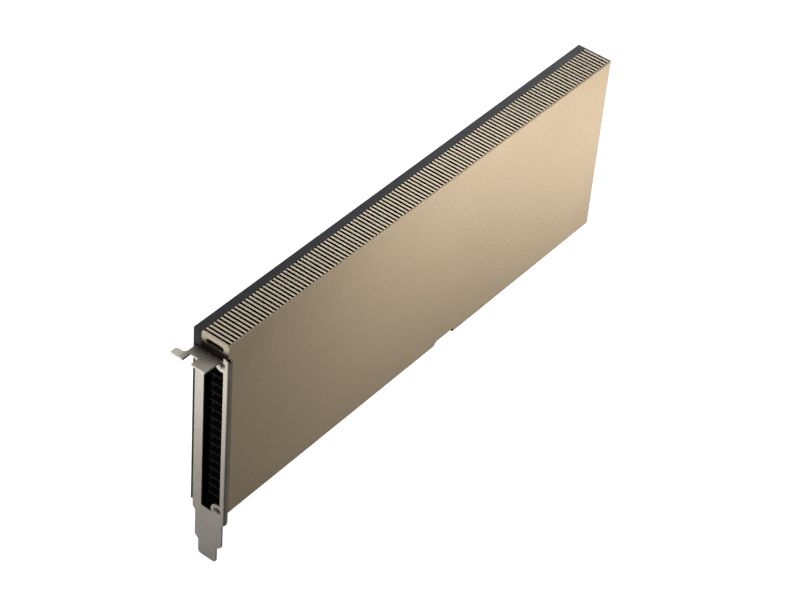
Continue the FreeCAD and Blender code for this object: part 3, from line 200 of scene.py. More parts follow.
def new_group(name, inputs, outputs):
    """Empty node group with named sockets, and its two end nodes."""
    group = bpy.data.node_groups.new(name, "ShaderNodeTree")
    for label, kind, default in inputs:
        socket = group.interface.new_socket(name=label, in_out="INPUT", socket_type=kind)
        if default is not None:
            socket.default_value = default
    for label, kind in outputs:
        group.interface.new_socket(name=label, in_out="OUTPUT", socket_type=kind)
    source = group.nodes.new("NodeGroupInput")
    sink = group.nodes.new("NodeGroupOutput")
    return group, source, sink


def feed(tree, socket, value):
    """Links an input to another socket, or sets it to plain numbers."""
    if isinstance(value, bpy.types.NodeSocket):
        tree.links.new(value, socket)
    else:
        socket.default_value = value


def add_math(tree, operation, first, second=None, clamp=False):
    """Math node whose inputs are sockets or plain numbers."""
    node = tree.nodes.new("ShaderNodeMath")
    node.operation = operation
    node.use_clamp = clamp
    feed(tree, node.inputs[0], first)
    if second is not None:
        feed(tree, node.inputs[1], second)
    return node.outputs["Value"]


def add_noise(tree, vector, scale, detail=3.0, roughness=0.5):
    """Noise texture between 0 and 1, mostly near one half."""
    node = tree.nodes.new("ShaderNodeTexNoise")
    tree.links.new(vector, node.inputs["Vector"])
    feed(tree, node.inputs["Scale"], scale)
    node.inputs["Detail"].default_value = detail
    node.inputs["Roughness"].default_value = roughness
    return node.outputs["Fac"]


def add_range(tree, value, low, high, new_low=0.0, new_high=1.0):
    """Maps a value from one range to another, with soft ends."""
    node = tree.nodes.new("ShaderNodeMapRange")
    node.interpolation_type = "SMOOTHSTEP"
    tree.links.new(value, node.inputs["Value"])
    for label, amount in (("From Min", low), ("From Max", high),
                          ("To Min", new_low), ("To Max", new_high)):
        feed(tree, node.inputs[label], amount)
    return node.outputs["Result"]


def build_blasted_grain():
    """Fine even grain of blasted or coated metal, as a height."""
    group, source, sink = new_group(
        "Blasted grain",
        (("Vector", "NodeSocketVector", None), ("Scale", "NodeSocketFloat", 4000.0)),
        (("Height", "NodeSocketFloat"),))
    vector, scale = source.outputs["Vector"], source.outputs["Scale"]
    coarse_scale, fine_share = 0.31, 0.65
    fine = add_noise(group, vector, scale, detail=2.0, roughness=0.6)
    broad = add_math(group, "MULTIPLY", scale, coarse_scale)
    coarse = add_noise(group, vector, broad, detail=2.0)
    both = add_math(group, "ADD", add_math(group, "MULTIPLY", fine, fine_share),
                    add_math(group, "MULTIPLY", coarse, 1.0 - fine_share))
    group.links.new(both, sink.inputs["Height"])
    return group


def build_rolled_lines():
    """Long faint lines of rolled or drawn metal, as a height."""
    group, source, sink = new_group(
        "Rolled lines",
        (("Vector", "NodeSocketVector", None), ("Stretch", "NodeSocketVector", None)),
        (("Height", "NodeSocketFloat"),))
    scaled = group.nodes.new("ShaderNodeVectorMath")
    scaled.operation = "MULTIPLY"
    group.links.new(source.outputs["Vector"], scaled.inputs[0])
    group.links.new(source.outputs["Stretch"], scaled.inputs[1])
    lines = add_noise(group, scaled.outputs["Vector"], 1.0, detail=4.0, roughness=0.65)
    group.links.new(lines, sink.inputs["Height"])
    return group


def build_cloudy_patches():
    """Broad soft patches between two values, for colour and roughness."""
    group, source, sink = new_group(
        "Cloudy patches",
        (("Vector", "NodeSocketVector", None), ("Scale", "NodeSocketFloat", 30.0),
         ("Low", "NodeSocketFloat", 0.0), ("High", "NodeSocketFloat", 1.0)),
        (("Value", "NodeSocketFloat"),))
    cloud = add_noise(group, source.outputs["Vector"], source.outputs["Scale"],
                      detail=5.0, roughness=0.6)
    value = add_range(group, cloud, 0.3, 0.7, source.outputs["Low"], source.outputs["High"])
    group.links.new(value, sink.inputs["Value"])
    return group


def build_edge_wear():
    """Mask of rubbed edges, and a normal that rounds them slightly."""
    group, source, sink = new_group(
        "Edge wear",
        (("Vector", "NodeSocketVector", None), ("Radius", "NodeSocketFloat", 0.00015),
         ("Breakup", "NodeSocketFloat", 400.0), ("Amount", "NodeSocketFloat", 1.0)),
        (("Mask", "NodeSocketFloat"), ("Normal", "NodeSocketVector")))
    bevel = group.nodes.new("ShaderNodeBevel")
    bevel.samples = 6
    group.links.new(source.outputs["Radius"], bevel.inputs["Radius"])
    geometry = group.nodes.new("ShaderNodeNewGeometry")
    dot = group.nodes.new("ShaderNodeVectorMath")
    dot.operation = "DOT_PRODUCT"
    group.links.new(bevel.outputs["Normal"], dot.inputs[0])
    group.links.new(geometry.outputs["Normal"], dot.inputs[1])
    away = add_math(group, "SUBTRACT", 1.0, dot.outputs["Value"])
    turned = add_range(group, away, 0.02, 0.25)
    breakup = add_noise(group, source.outputs["Vector"], source.outputs["Breakup"],
                        detail=3.0, roughness=0.7)
    broken = add_range(group, breakup, 0.35, 0.6)
    mask = add_math(group, "MULTIPLY", add_math(group, "MULTIPLY", turned, broken),
                    source.outputs["Amount"], clamp=True)
    group.links.new(mask, sink.inputs["Mask"])
    group.links.new(bevel.outputs["Normal"], sink.inputs["Normal"])
    return group


def build_cavity_shade():
    """Painted shade in deep corners and grooves, from ambient occlusion, as a factor for the
    colour.
    """
    group, source, sink = new_group(
        "Cavity shade",
        (("Vector", "NodeSocketVector", None), ("Reach", "NodeSocketFloat", 0.003),
         ("Depth", "NodeSocketFloat", 0.6), ("Open", "NodeSocketFloat", 0.25),
         ("Shut", "NodeSocketFloat", 0.85)),
        (("Factor", "NodeSocketFloat"),))
    near = group.nodes.new("ShaderNodeAmbientOcclusion")
    near.samples = 6
    near.only_local = False
    group.links.new(source.outputs["Reach"], near.inputs["Distance"])
    covered = add_math(group, "SUBTRACT", 1.0, near.outputs["AO"])
    shut = add_range(group, covered, source.outputs["Open"], source.outputs["Shut"])
    speckle = add_noise(group, source.outputs["Vector"], 700.0, detail=2.0)
    patchy = add_range(group, speckle, 0.3, 0.7, 0.85, 1.0)
    shade = add_math(group, "MULTIPLY", add_math(group, "MULTIPLY", shut, patchy),
                     source.outputs["Depth"])
    group.links.new(shade, sink.inputs["Factor"])
    return group


def build_even_stripes():
    """Mask of even stripes along a coordinate, at a pitch and with a width."""
    group, source, sink = new_group(
        "Even stripes",
        (("Coordinate", "NodeSocketFloat", 0.0), ("Pitch", "NodeSocketFloat", 0.001),
         ("Width", "NodeSocketFloat", 0.0002)),
        (("Mask", "NodeSocketFloat"),))
    turns = add_math(group, "DIVIDE", source.outputs["Coordinate"], source.outputs["Pitch"])
    share = add_math(group, "FRACT", turns)
    away = add_math(group, "ABSOLUTE", add_math(group, "SUBTRACT", share, 0.5))
    half = add_math(group, "DIVIDE", source.outputs["Width"],
                    add_math(group, "MULTIPLY", source.outputs["Pitch"], 2.0))
    group.links.new(add_math(group, "LESS_THAN", away, half), sink.inputs["Mask"])
    return group


GROUP_MAKERS = {
    "Blasted grain": build_blasted_grain,
    "Rolled lines": build_rolled_lines,
    "Cloudy patches": build_cloudy_patches,
    "Edge wear": build_edge_wear,
    "Cavity shade": build_cavity_shade,
    "Even stripes": build_even_stripes,
}


def place_group(tree, name, vector=None, **values):
    """Places a shared group in a material and sets its inputs."""
    group = bpy.data.node_groups.get(name) or GROUP_MAKERS[name]()
    node = tree.nodes.new("ShaderNodeGroup")
    node.node_tree = group
    if vector is not None:
        tree.links.new(vector, node.inputs["Vector"])
    for label, value in values.items():
        node.inputs[label].default_value = value
    return node


# Finishes.

class Finish:
    """A material under construction: its tree, its shader and its coordinates."""

    def __init__(self, name, metallic, specular=0.5):
        self.material = bpy.data.materials.new(name)
        self.material.use_nodes = True
        self.tree = self.material.node_tree
        self.shader = self.tree.nodes["Principled BSDF"]
        self.shader.inputs["Metallic"].default_value = metallic
        self.shader.inputs["Specular IOR Level"].default_value = specular
        place = self.tree.nodes.new("ShaderNodeTexCoord")
        self.vector = place.outputs["Object"]
        self.normal = None

    def mix(self, factor, first, second):
        """Mixes two colours, each a socket or three numbers, by a socket's value."""
        node = self.tree.nodes.new("ShaderNodeMix")
        node.data_type = "RGBA"
        self.tree.links.new(factor, node.inputs["Factor"])
        for label, value in (("A", first), ("B", second)):
            socket = [s for s in node.inputs if s.name == label and s.type == "RGBA"][0]
            plain = not isinstance(value, bpy.types.NodeSocket)
            feed(self.tree, socket, (*value, 1.0) if plain else value)
        return [s for s in node.outputs if s.type == "RGBA"][0]

    def patches(self, scale, low=0.0, high=1.0):
        """Broad patches of the surface."""
        node = place_group(self.tree, "Cloudy patches", self.vector,
                           Scale=scale, Low=low, High=high)
        return node.outputs["Value"]

    def wear(self, radius, breakup, amount):
        """Rubbed edges; the rounded normal is kept for the bump."""
        node = place_group(self.tree, "Edge wear", self.vector,
                           Radius=radius, Breakup=breakup, Amount=amount)
        self.normal = node.outputs["Normal"]
        return node.outputs["Mask"]

    def grain(self, scale):
        """Fine even grain, as a height."""
        node = place_group(self.tree, "Blasted grain", self.vector, Scale=scale)
        return node.outputs["Height"]

    def lines(self, stretch):
        """Long faint lines, as a height."""
        node = place_group(self.tree, "Rolled lines", self.vector, Stretch=stretch)
        return node.outputs["Height"]

    def shade(self, colour, reach, depth, open_share, shut_share):
        """Paints shade into a colour in deep corners and grooves."""
        node = place_group(self.tree, "Cavity shade", self.vector, Reach=reach, Depth=depth,
                           Open=open_share, Shut=shut_share)
        return self.mix(node.outputs["Factor"], colour, PAINTED_CORNER_SHADE)

    def stripes(self, axis, pitch, width):
        """Even stripes along an axis of the card."""
        split = self.tree.nodes.new("ShaderNodeSeparateXYZ")
        self.tree.links.new(self.vector, split.inputs["Vector"])
        node = place_group(self.tree, "Even stripes", Pitch=pitch, Width=width)
        self.tree.links.new(split.outputs[axis], node.inputs["Coordinate"])
        return node.outputs["Mask"]

    def turned(self, axis):
        """How far a face looks along an axis of the card, signed."""
        geometry = self.tree.nodes.new("ShaderNodeNewGeometry")
        split = self.tree.nodes.new("ShaderNodeSeparateXYZ")
        self.tree.links.new(geometry.outputs["Normal"], split.inputs["Vector"])
        return split.outputs[axis]

    def wall_shade(self):
        """Mask of painted shade on the groove walls and on the near end wall's foot."""
        tree = self.tree
        split = tree.nodes.new("ShaderNodeSeparateXYZ")
        tree.links.new(self.vector, split.inputs["Vector"])
        within = add_math(tree, "GREATER_THAN", split.outputs["X"], GROOVES_FROM)
        foot = add_range(tree, split.outputs["Z"], VENT_TOP, VENT_FOOT)
        across = add_math(tree, "ABSOLUTE", self.turned("X"))
        upright = add_range(tree, across, 0.4, 0.8)
        return add_math(tree, "MULTIPLY", upright, add_math(tree, "MAXIMUM", within, foot))

    def rim(self):
        """Mask of the strip of sheet in front of the groove ends."""
        tree = self.tree
        split = tree.nodes.new("ShaderNodeSeparateXYZ")
        tree.links.new(self.vector, split.inputs["Vector"])
        front = add_math(tree, "LESS_THAN", split.outputs["Y"], SHEET_BACK)
        upward = add_range(tree, self.turned("Z"), 0.3, 0.8)
        return add_math(tree, "MULTIPLY", front, upward)

    def tint(self, ground, tints):
        """Other colours for the faces that look a given way."""
        for axis, start, full, colour in tints:
            mask = add_range(self.tree, self.turned(axis), start, full)
            ground = self.mix(mask, ground, colour)
        return ground

    def bump(self, height, strength, distance):
        """Turns a height into the shader's normal."""
        node = self.tree.nodes.new("ShaderNodeBump")
        node.inputs["Strength"].default_value = strength
        node.inputs["Distance"].default_value = distance
        self.tree.links.new(height, node.inputs["Height"])
        if self.normal is not None:
            self.tree.links.new(self.normal, node.inputs["Normal"])
        self.tree.links.new(node.outputs["Normal"], self.shader.inputs["Normal"])

    def colour(self, value):
        """Base colour from a socket."""
        self.tree.links.new(value, self.shader.inputs["Base Color"])

    def roughness(self, value):
        """Roughness from a socket."""
        self.tree.links.new(value, self.shader.inputs["Roughness"])


def grained_finish(name, deep, pale, worn, metallic, rough, grain, depth,
                   radius=0.00012, wear=0.6, patch=28.0, specular=0.5, cavity=None,
                   tints=(), wall_shade=None, rim=None, speckle=0.35):
    """Blasted or coated surface: cloudy colour, rubbed edges, a fine grain, and painted shade
    where asked.

    rough holds the lowest and highest roughness. cavity holds what Finish.shade takes for its
    painted shade: reach, depth and the covered shares at which the painted shade begins and is
    full. Each of tints holds an axis, where along it the tint begins and is full, and a colour.
    The wall shade is a colour painted as shade on the groove walls and the end wall's foot.
    """
    sparkle, rubbed_gloss = 1.25, 0.08
    finish = Finish(name, metallic, specular)
    mask = finish.wear(radius, breakup=900.0, amount=wear)
    height = finish.grain(grain)
    ground = finish.mix(finish.patches(patch), deep, pale)
    speck = add_range(finish.tree, height, 0.42, 0.62, 0.0, speckle)
    ground = finish.mix(speck, ground, [min(1.0, c * sparkle) for c in pale])
    ground = finish.mix(mask, ground, worn)
    ground = finish.tint(ground, tints)
    if rim:
        ground = finish.mix(finish.rim(), ground, rim)
    if wall_shade:
        ground = finish.mix(finish.wall_shade(), ground, wall_shade)
    if cavity:
        ground = finish.shade(ground, *cavity)
    finish.colour(ground)
    low, high = rough
    patchy = finish.patches(patch * 2.3, low, high)
    finish.roughness(add_math(finish.tree, "SUBTRACT", patchy,
                              add_math(finish.tree, "MULTIPLY", mask, rubbed_gloss)))
    finish.bump(height, strength=0.5, distance=depth)
    return finish


def rolled_finish(name, deep, pale, worn, rough, stretch, depth, wear=0.7, metallic=1.0,
                  cavity=None, tints=(), ledge_shade=None, radius=0.00010, specular=0.5):
    """Sheet or drawn metal with faint long lines, and painted shade on chosen flanks and in
    corners.

    stretch holds the lines' scale along each axis. The ledge shade is a second painted cavity
    shade, for faces that look up. The rest is as for a grained finish.
    """
    line_share, line_roughness, grain_scale = 0.6, 0.06, 5200.0
    finish = Finish(name, metallic, specular)
    mask = finish.wear(radius, breakup=1200.0, amount=wear)
    lines = finish.lines(stretch)
    ground = finish.mix(lines, deep, pale)
    ground = finish.mix(finish.patches(scale=60.0, high=0.5), ground, deep)
    ground = finish.mix(mask, ground, worn)
    ground = finish.tint(ground, tints)
    if cavity:
        ground = finish.shade(ground, *cavity)
    if ledge_shade:
        upward = add_range(finish.tree, finish.turned("Z"), 0.5, 0.9)
        ground = finish.mix(upward, ground, finish.shade(ground, *ledge_shade))
    finish.colour(ground)
    low, high = rough
    finish.roughness(add_math(finish.tree, "ADD", finish.patches(90.0, low, high),
                              add_math(finish.tree, "MULTIPLY", lines, line_roughness)))
    grain = add_math(finish.tree, "MULTIPLY", finish.grain(grain_scale), 1.0 - line_share)
    height = add_math(finish.tree, "ADD",
                      add_math(finish.tree, "MULTIPLY", lines, line_share), grain)
    finish.bump(height, strength=0.4, distance=depth)
    return finish


def laminate_finish(settings):
    """Circuit board: green mask with traces and vias, and sawn edges."""
    trace_pitch, trace_width = 0.0010, 0.00032
    weave_pitch, weave_width = 0.00020, 0.00011
    vias_per_metre, ring_share, hole_share = 420.0, 0.15, 0.07
    hole_colour = (0.004, 0.006, 0.005)
    finish = Finish("board_laminate", metallic=0.0)
    tree = finish.tree
    finish.wear(radius=0.00008, breakup=800.0, amount=0.4)
    mask = tuple(settings.solder_mask)
    lighter = tuple(min(1.0, c * 1.9 + 0.004) for c in mask)
    ground = finish.mix(finish.patches(120.0), mask, [c * 1.25 for c in mask])
    traces = finish.stripes("X", trace_pitch, trace_width)
    bundles = add_range(tree, add_noise(tree, finish.vector, 90.0, detail=1.0), 0.45, 0.5)
    traces = add_math(tree, "MULTIPLY", traces, bundles)
    ground = finish.mix(traces, ground, lighter)
    dots = tree.nodes.new("ShaderNodeTexVoronoi")
    dots.inputs["Scale"].default_value = vias_per_metre
    dots.inputs["Randomness"].default_value = 0.75
    tree.links.new(finish.vector, dots.inputs["Vector"])
    ring = add_math(tree, "LESS_THAN", dots.outputs["Distance"], ring_share)
    hole = add_math(tree, "LESS_THAN", dots.outputs["Distance"], hole_share)
    ground = finish.mix(ring, ground, [c * 0.5 + 0.03 for c in settings.contact])
    ground = finish.mix(hole, ground, hole_colour)
    sawn = add_math(tree, "LESS_THAN", add_math(tree, "ABSOLUTE", finish.turned("Y")), 0.5)
    weave = finish.stripes("Y", weave_pitch, weave_width)
    edge = tuple(settings.board_edge)
    sawn_colour = finish.mix(weave, edge, [c * 0.62 for c in edge])
    finish.colour(finish.mix(sawn, ground, sawn_colour))
    rough = finish.patches(200.0, 0.28, 0.42)
    finish.roughness(add_math(tree, "ADD", rough, add_math(tree, "MULTIPLY", sawn, 0.35)))
    height = add_math(tree, "ADD", add_math(tree, "MULTIPLY", traces, 0.5),
                      add_math(tree, "MULTIPLY", finish.grain(3000.0), 0.3))
    finish.bump(height, strength=0.5, distance=0.00003)
    return finish


def contact_finish(settings):
    """Hard gold with fine rub marks of earlier insertions."""
    gold = tuple(settings.contact)
    return rolled_finish(
        "contact_gold", deep=[c * 0.86 for c in gold], pale=gold,
        worn=[min(1.0, c * 1.1) for c in gold], rough=(0.16, 0.30),
        stretch=(9000.0, 9000.0, 350.0), depth=0.000004, wear=0.3)


def give(finish, *nodes):
    """Assigns a finish to nodes of the model."""
    for name in nodes:
        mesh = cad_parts[name].data
        mesh.materials.clear()
        mesh.materials.append(finish.material)


# Small board parts above the edge contacts.

def add_block(shape, low, high, slot):
    """Adds a box to a mesh under construction, in the given material slot."""
    low, high = Vector(low), Vector(high)
    size, middle = high - low, (high + low) / 2
    made = bmesh.ops.create_cube(
        shape, size=1.0,
        matrix=Matrix.Translation(middle) @ Matrix.Diagonal((*size, 1.0)))
    faces = {face for corner in made["verts"] for face in corner.link_faces}
    for face in faces:
        face.material_index = slot
    return list(made["verts"])


def soften(shape, corners, width):
    """Bevels the edges between some corners."""
    edges = {edge for corner in corners for edge in corner.link_edges}
    bmesh.ops.bevel(shape, geom=list(edges), offset=width, segments=1, profile=0.5,
                    affect="EDGES", material=-1, clamp_overlap=True)


def finish_piece(name, shape, materials):
    """Makes an object of a finished mesh and lets it ride on the card."""
    bmesh.ops.recalc_face_normals(shape, faces=shape.faces)
    mesh = bpy.data.meshes.new(name)
    shape.to_mesh(mesh)
    shape.free()
    for material in materials:
        mesh.materials.append(material)
    piece = bpy.data.objects.new(name, mesh)
    bpy.context.scene.collection.objects.link(piece)
    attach(piece, "root")


class CARD_OT_dress_cover(bpy.types.Operator):
    """Gives the cover and its ribbed rails their champagne anodising"""
    bl_idname = "card.dress_cover"
    bl_label = "Cover and rails"

    def execute(self, context):
        colours = context.scene.card_finishes
        milled, bare_edge = tuple(colours.milled), tuple(colours.bare_edge)
        sheet = grained_finish(
            "champagne_anodised", deep=tuple(colours.anodised),
            pale=tuple(colours.anodised_pale), worn=bare_edge, metallic=0.08,
            rough=(0.50, 0.58), grain=2300.0, depth=0.00003, radius=0.00016, wear=0.1,
            # painted shade in the cover's corners and recesses, reaching far enough to darken the
            # end wall above the bracket's tab
            patch=22.0, specular=0.04, cavity=(0.016, 0.94, 0.10, 0.27),
            # faces of the cover that look down get painted shade
            tints=(("Z", -0.01, -0.12, SHEET_UNDERSIDE_SHADE),
                   ("Z", 0.4, 0.9, milled),
                   ("X", -0.4, -0.8, milled)),
            # the end wall's foot below the vent is painted dark as its shadow
            rim=SHEET_TOP_EDGE, wall_shade=END_WALL_FOOT_SHADE, speckle=0.5)
        give(sheet, "cover")
        rails = grained_finish(
            "champagne_milled", deep=milled, pale=tuple(colours.milled_pale),
            worn=bare_edge, metallic=0.08, rough=(0.50, 0.58), grain=3600.0,
            depth=0.00003, radius=0.00016, wear=0.45, patch=22.0, specular=0.08,
            # painted shade in the grooves: the cavity shade and the darker groove walls
            cavity=(0.016, 0.90, 0.10, 0.27), wall_shade=GROOVE_WALL_SHADE)
        give(rails, "top_rail", "foot_rail")
        return {"FINISHED"}


class CARD_OT_dress_bracket(bpy.types.Operator):
    """Gives the bracket and its screws their plated steel"""
    bl_idname = "card.dress_bracket"
    bl_label = "Bracket and screws"

    def execute(self, context):
        colours = context.scene.card_finishes
        sheet = tuple(colours.sheet)
        finish = rolled_finish(
            "bracket_sheet", deep=[c * 0.9 for c in sheet],
            # the edge-wear mask lays this pale colour on the cut edges, partly as wear and partly
            # as a painted highlight
            pale=[min(1.0, c * 1.12) for c in sheet], worn=tuple(colours.sheet_wear_and_glint),
            rough=(0.36, 0.46), stretch=(900.0, 900.0, 160.0), depth=0.000012,
            # painted shade in the bracket's corners, on its flanks across the card's thickness,
            # and on the tab beside the cover's end wall
            metallic=0.06, cavity=(0.0015, 0.97, 0.2, 0.5),
            tints=(("Y", -0.4, -0.8, SHEET_FLANK_SHADE), ("Y", 0.4, 0.8, SHEET_FLANK_SHADE)),
            ledge_shade=(0.014, 0.99, 0.14, 0.26), radius=0.00028, wear=0.9, specular=0.2)
        give(finish, "bracket")
        # painted shade in the screws' cross recesses and round their heads
        screws = rolled_finish(
            "screw_steel", deep=(0.13, 0.12, 0.11), pale=(0.20, 0.19, 0.17),
            worn=(0.5, 0.48, 0.44), rough=(0.25, 0.4), stretch=(2600.0, 2600.0, 2600.0),
            depth=0.00001, metallic=0.3, cavity=(0.0012, 0.98, 0.12, 0.32))
        give(screws, "bracket_screws")
        return {"FINISHED"}


class CARD_OT_dress_backplate(bpy.types.Operator):
    """Gives the backplate, its screws, the inner frame and the film their black"""
    bl_idname = "card.dress_backplate"
    bl_label = "Backplate and inner frame"

    def execute(self, context):
        colours = context.scene.card_finishes
        black, worn = tuple(colours.black_paint), tuple(colours.black_worn)
        coating = grained_finish(
            "backplate_coating", deep=black, pale=[c * 1.35 for c in black], worn=worn,
            metallic=0.0, rough=(0.46, 0.58), grain=2600.0, depth=0.00004,
            radius=0.00018, wear=0.7, patch=35.0, specular=0.105)
        give(coating, "backplate")
        inner = grained_finish(
            "inner_frame_coating", deep=[c * 0.25 for c in black],
            pale=[c * 0.35 for c in black], worn=black, metallic=0.0, rough=(0.6, 0.7),
            grain=2600.0, depth=0.00003, wear=0.1, specular=0.0)
        give(inner, "mounting_frame")
        screws = rolled_finish(
            "board_screw_black", deep=(0.05, 0.05, 0.052), pale=(0.09, 0.09, 0.092),
            worn=(0.35, 0.34, 0.33), rough=(0.3, 0.42), stretch=(2400.0, 2400.0, 2400.0),
            depth=0.00001, wear=0.9)
        give(screws, "board_screws")
        film = grained_finish(
            "insulating_film", deep=(0.015, 0.015, 0.016), pale=(0.025, 0.025, 0.027),
            worn=(0.05, 0.05, 0.05), metallic=0.0, rough=(0.3, 0.4), grain=900.0,
            depth=0.00001)
        give(film, "insulating_film")
        return {"FINISHED"}


class CARD_OT_dress_board(bpy.types.Operator):
    """Gives the circuit board its mask, and the edge contacts their gold"""
    bl_idname = "card.dress_board"
    bl_label = "Circuit board and contacts"

    def execute(self, context):
        colours = context.scene.card_finishes
        give(laminate_finish(colours), "circuit_board")
        give(contact_finish(colours), "edge_contacts_front", "edge_contacts_rear")
        return {"FINISHED"}


class CARD_OT_dress_packages(bpy.types.Operator):
    """Gives the processor, the memory and the small packages their materials"""
    bl_idname = "card.dress_packages"
    bl_label = "Processor and packages"

    def execute(self, context):
        substrate = grained_finish(
            "package_laminate", deep=(0.015, 0.07, 0.04), pale=(0.02, 0.09, 0.05),
            worn=(0.2, 0.2, 0.1), metallic=0.0, rough=(0.35, 0.5), grain=3000.0,
            depth=0.00001)
        give(substrate, "processor_substrate")
        die = rolled_finish(
            "die_silicon", deep=(0.20, 0.21, 0.24), pale=(0.27, 0.28, 0.31),
            worn=(0.4, 0.4, 0.42), rough=(0.08, 0.16), stretch=(700.0, 700.0, 700.0),
            depth=0.000002, metallic=0.8)
        give(die, "processor_die")
        ring = rolled_finish(
            "package_frame_nickel", deep=(0.50, 0.49, 0.46), pale=(0.62, 0.61, 0.58),
            worn=(0.8, 0.79, 0.76), rough=(0.25, 0.4), stretch=(1500.0, 1500.0, 300.0),
            depth=0.00001)
        give(ring, "processor_frame")
        epoxy = grained_finish(
            "moulded_epoxy", deep=(0.012, 0.012, 0.013), pale=(0.02, 0.02, 0.021),
            worn=(0.05, 0.05, 0.05), metallic=0.0, rough=(0.5, 0.62), grain=3400.0,
            depth=0.00003)
        give(epoxy, "memory_chips", "power_stages", "control_chips")
        pad = grained_finish(
            "thermal_pad", deep=(0.30, 0.34, 0.38), pale=(0.36, 0.40, 0.44),
            worn=(0.42, 0.46, 0.5), metallic=0.0, rough=(0.7, 0.85), grain=1500.0,
            depth=0.00006, wear=0.2)
        give(pad, "memory_pads", "inductor_pads")
        ferrite = grained_finish(
            "pressed_ferrite", deep=(0.09, 0.09, 0.095), pale=(0.14, 0.14, 0.145),
            worn=(0.224, 0.224, 0.232), metallic=0.35, rough=(0.55, 0.72), grain=2600.0,
            depth=0.00003, wear=0.5, patch=140.0)
        give(ferrite, "inductors")
        resin = grained_finish(
            "capacitor_resin", deep=(0.16, 0.10, 0.03), pale=(0.22, 0.14, 0.05),
            worn=(0.3, 0.22, 0.1), metallic=0.0, rough=(0.3, 0.4), grain=2400.0,
            depth=0.00001)
        give(resin, "polymer_capacitors")
        ceramic = grained_finish(
            "fired_ceramic", deep=(0.28, 0.19, 0.11), pale=(0.36, 0.25, 0.15),
            worn=(0.45, 0.35, 0.22), metallic=0.0, rough=(0.35, 0.5), grain=4200.0,
            depth=0.00001)
        give(ceramic, "ceramic_capacitors")
        return {"FINISHED"}


class CARD_OT_dress_heat_sink(bpy.types.Operator):
    """Gives the heat sink's base and fins a near-black aluminium, darkened as painted shade
    inside the cover
    """
    bl_idname = "card.dress_heat_sink"
    bl_label = "Heat sink"

    def execute(self, context):
        # near-black colours stand in for the shade inside the cover; the fins also get painted
        # cavity shade
        dark = {"deep": (0.006, 0.006, 0.007), "pale": (0.010, 0.010, 0.011),
                "worn": (0.012, 0.013, 0.014), "rough": (0.42, 0.52), "depth": 0.00001}
        fins = rolled_finish(
            "fin_aluminium", **dark, stretch=(60.0, 1800.0, 1800.0), metallic=0.1,
            cavity=(0.006, 0.97, 0.3, 0.7), specular=0.03)
        give(fins, "heat_sink_fins")
        base = rolled_finish(
            "base_aluminium", **dark, stretch=(50.0, 900.0, 1500.0), metallic=0.2,
            specular=0.1)
        give(base, "heat_sink_base")
        return {"FINISHED"}


class CARD_OT_dress_connector(bpy.types.Operator):
    """Gives the power connector its nylon, and its pins their brass"""
    bl_idname = "card.dress_connector"
    bl_label = "Power connector"

    def execute(self, context):
        nylon = grained_finish(
            "connector_nylon", deep=(0.016, 0.016, 0.018), pale=(0.026, 0.026, 0.028),
            worn=(0.06, 0.06, 0.06), metallic=0.0, rough=(0.4, 0.52), grain=2200.0,
            depth=0.00002)
        give(nylon, "power_connector")
        pins = rolled_finish(
            "pin_brass", deep=(0.55, 0.45, 0.25), pale=(0.7, 0.58, 0.34),
            worn=(0.85, 0.75, 0.5), rough=(0.2, 0.34), stretch=(200.0, 2500.0, 2500.0),
            depth=0.000006)
        give(pins, "power_pins")
        return {"FINISHED"}


class CARD_OT_add_coupling_capacitors(bpy.types.Operator):
    """Adds the row of small capacitors between the edge contacts and the cover"""
    bl_idname = "card.add_coupling_capacitors"
    bl_label = "Coupling capacitors"

    def execute(self, context):
        details = context.scene.card_details
        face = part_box("circuit_board")[0][1]
        contacts_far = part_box("edge_contacts_front")[1][0]
        long, wide = details.capacitor_length, details.capacitor_width
        cap, inset = long * END_CAP, wide * BODY_INSET
        low = details.capacitor_level - long / 2
        high = low + long - cap
        pitch = details.capacitor_pitch
        start = contacts_far - pitch * details.capacitor_count
        shape = bmesh.new()
        for step in range(details.capacitor_count):
            middle = start + step * pitch
            left, right = middle - wide / 2, middle + wide / 2
            corners = add_block(shape, (left + inset, face - wide + inset, low + cap),
                                (right - inset, face - inset, high), 0)
            for foot in (low, high):
                corners += add_block(shape, (left, face - wide, foot),
                                     (right, face, foot + cap), 1)
            soften(shape, corners, wide * CAPACITOR_BEVEL)
        ceramic = bpy.data.materials["fired_ceramic"]
        tin = rolled_finish(
            "tinned_end", deep=(0.50, 0.50, 0.50), pale=(0.66, 0.66, 0.65),
            worn=(0.8, 0.8, 0.8), rough=(0.3, 0.42), stretch=(2000.0, 2000.0, 2000.0),
            depth=0.000006)
        finish_piece("coupling_capacitors", shape, (ceramic, tin.material))
        return {"FINISHED"}


# Stage: floor, surroundings, lamps and camera.

def seen_factor(tree):
    """One where a camera, mirror or glass ray looks, and nothing elsewhere."""
    path = tree.nodes.new("ShaderNodeLightPath")
    first = add_math(tree, "MAXIMUM", path.outputs["Is Camera Ray"],
                     path.outputs["Is Glossy Ray"])
    return add_math(tree, "MAXIMUM", first, path.outputs["Is Transmission Ray"])


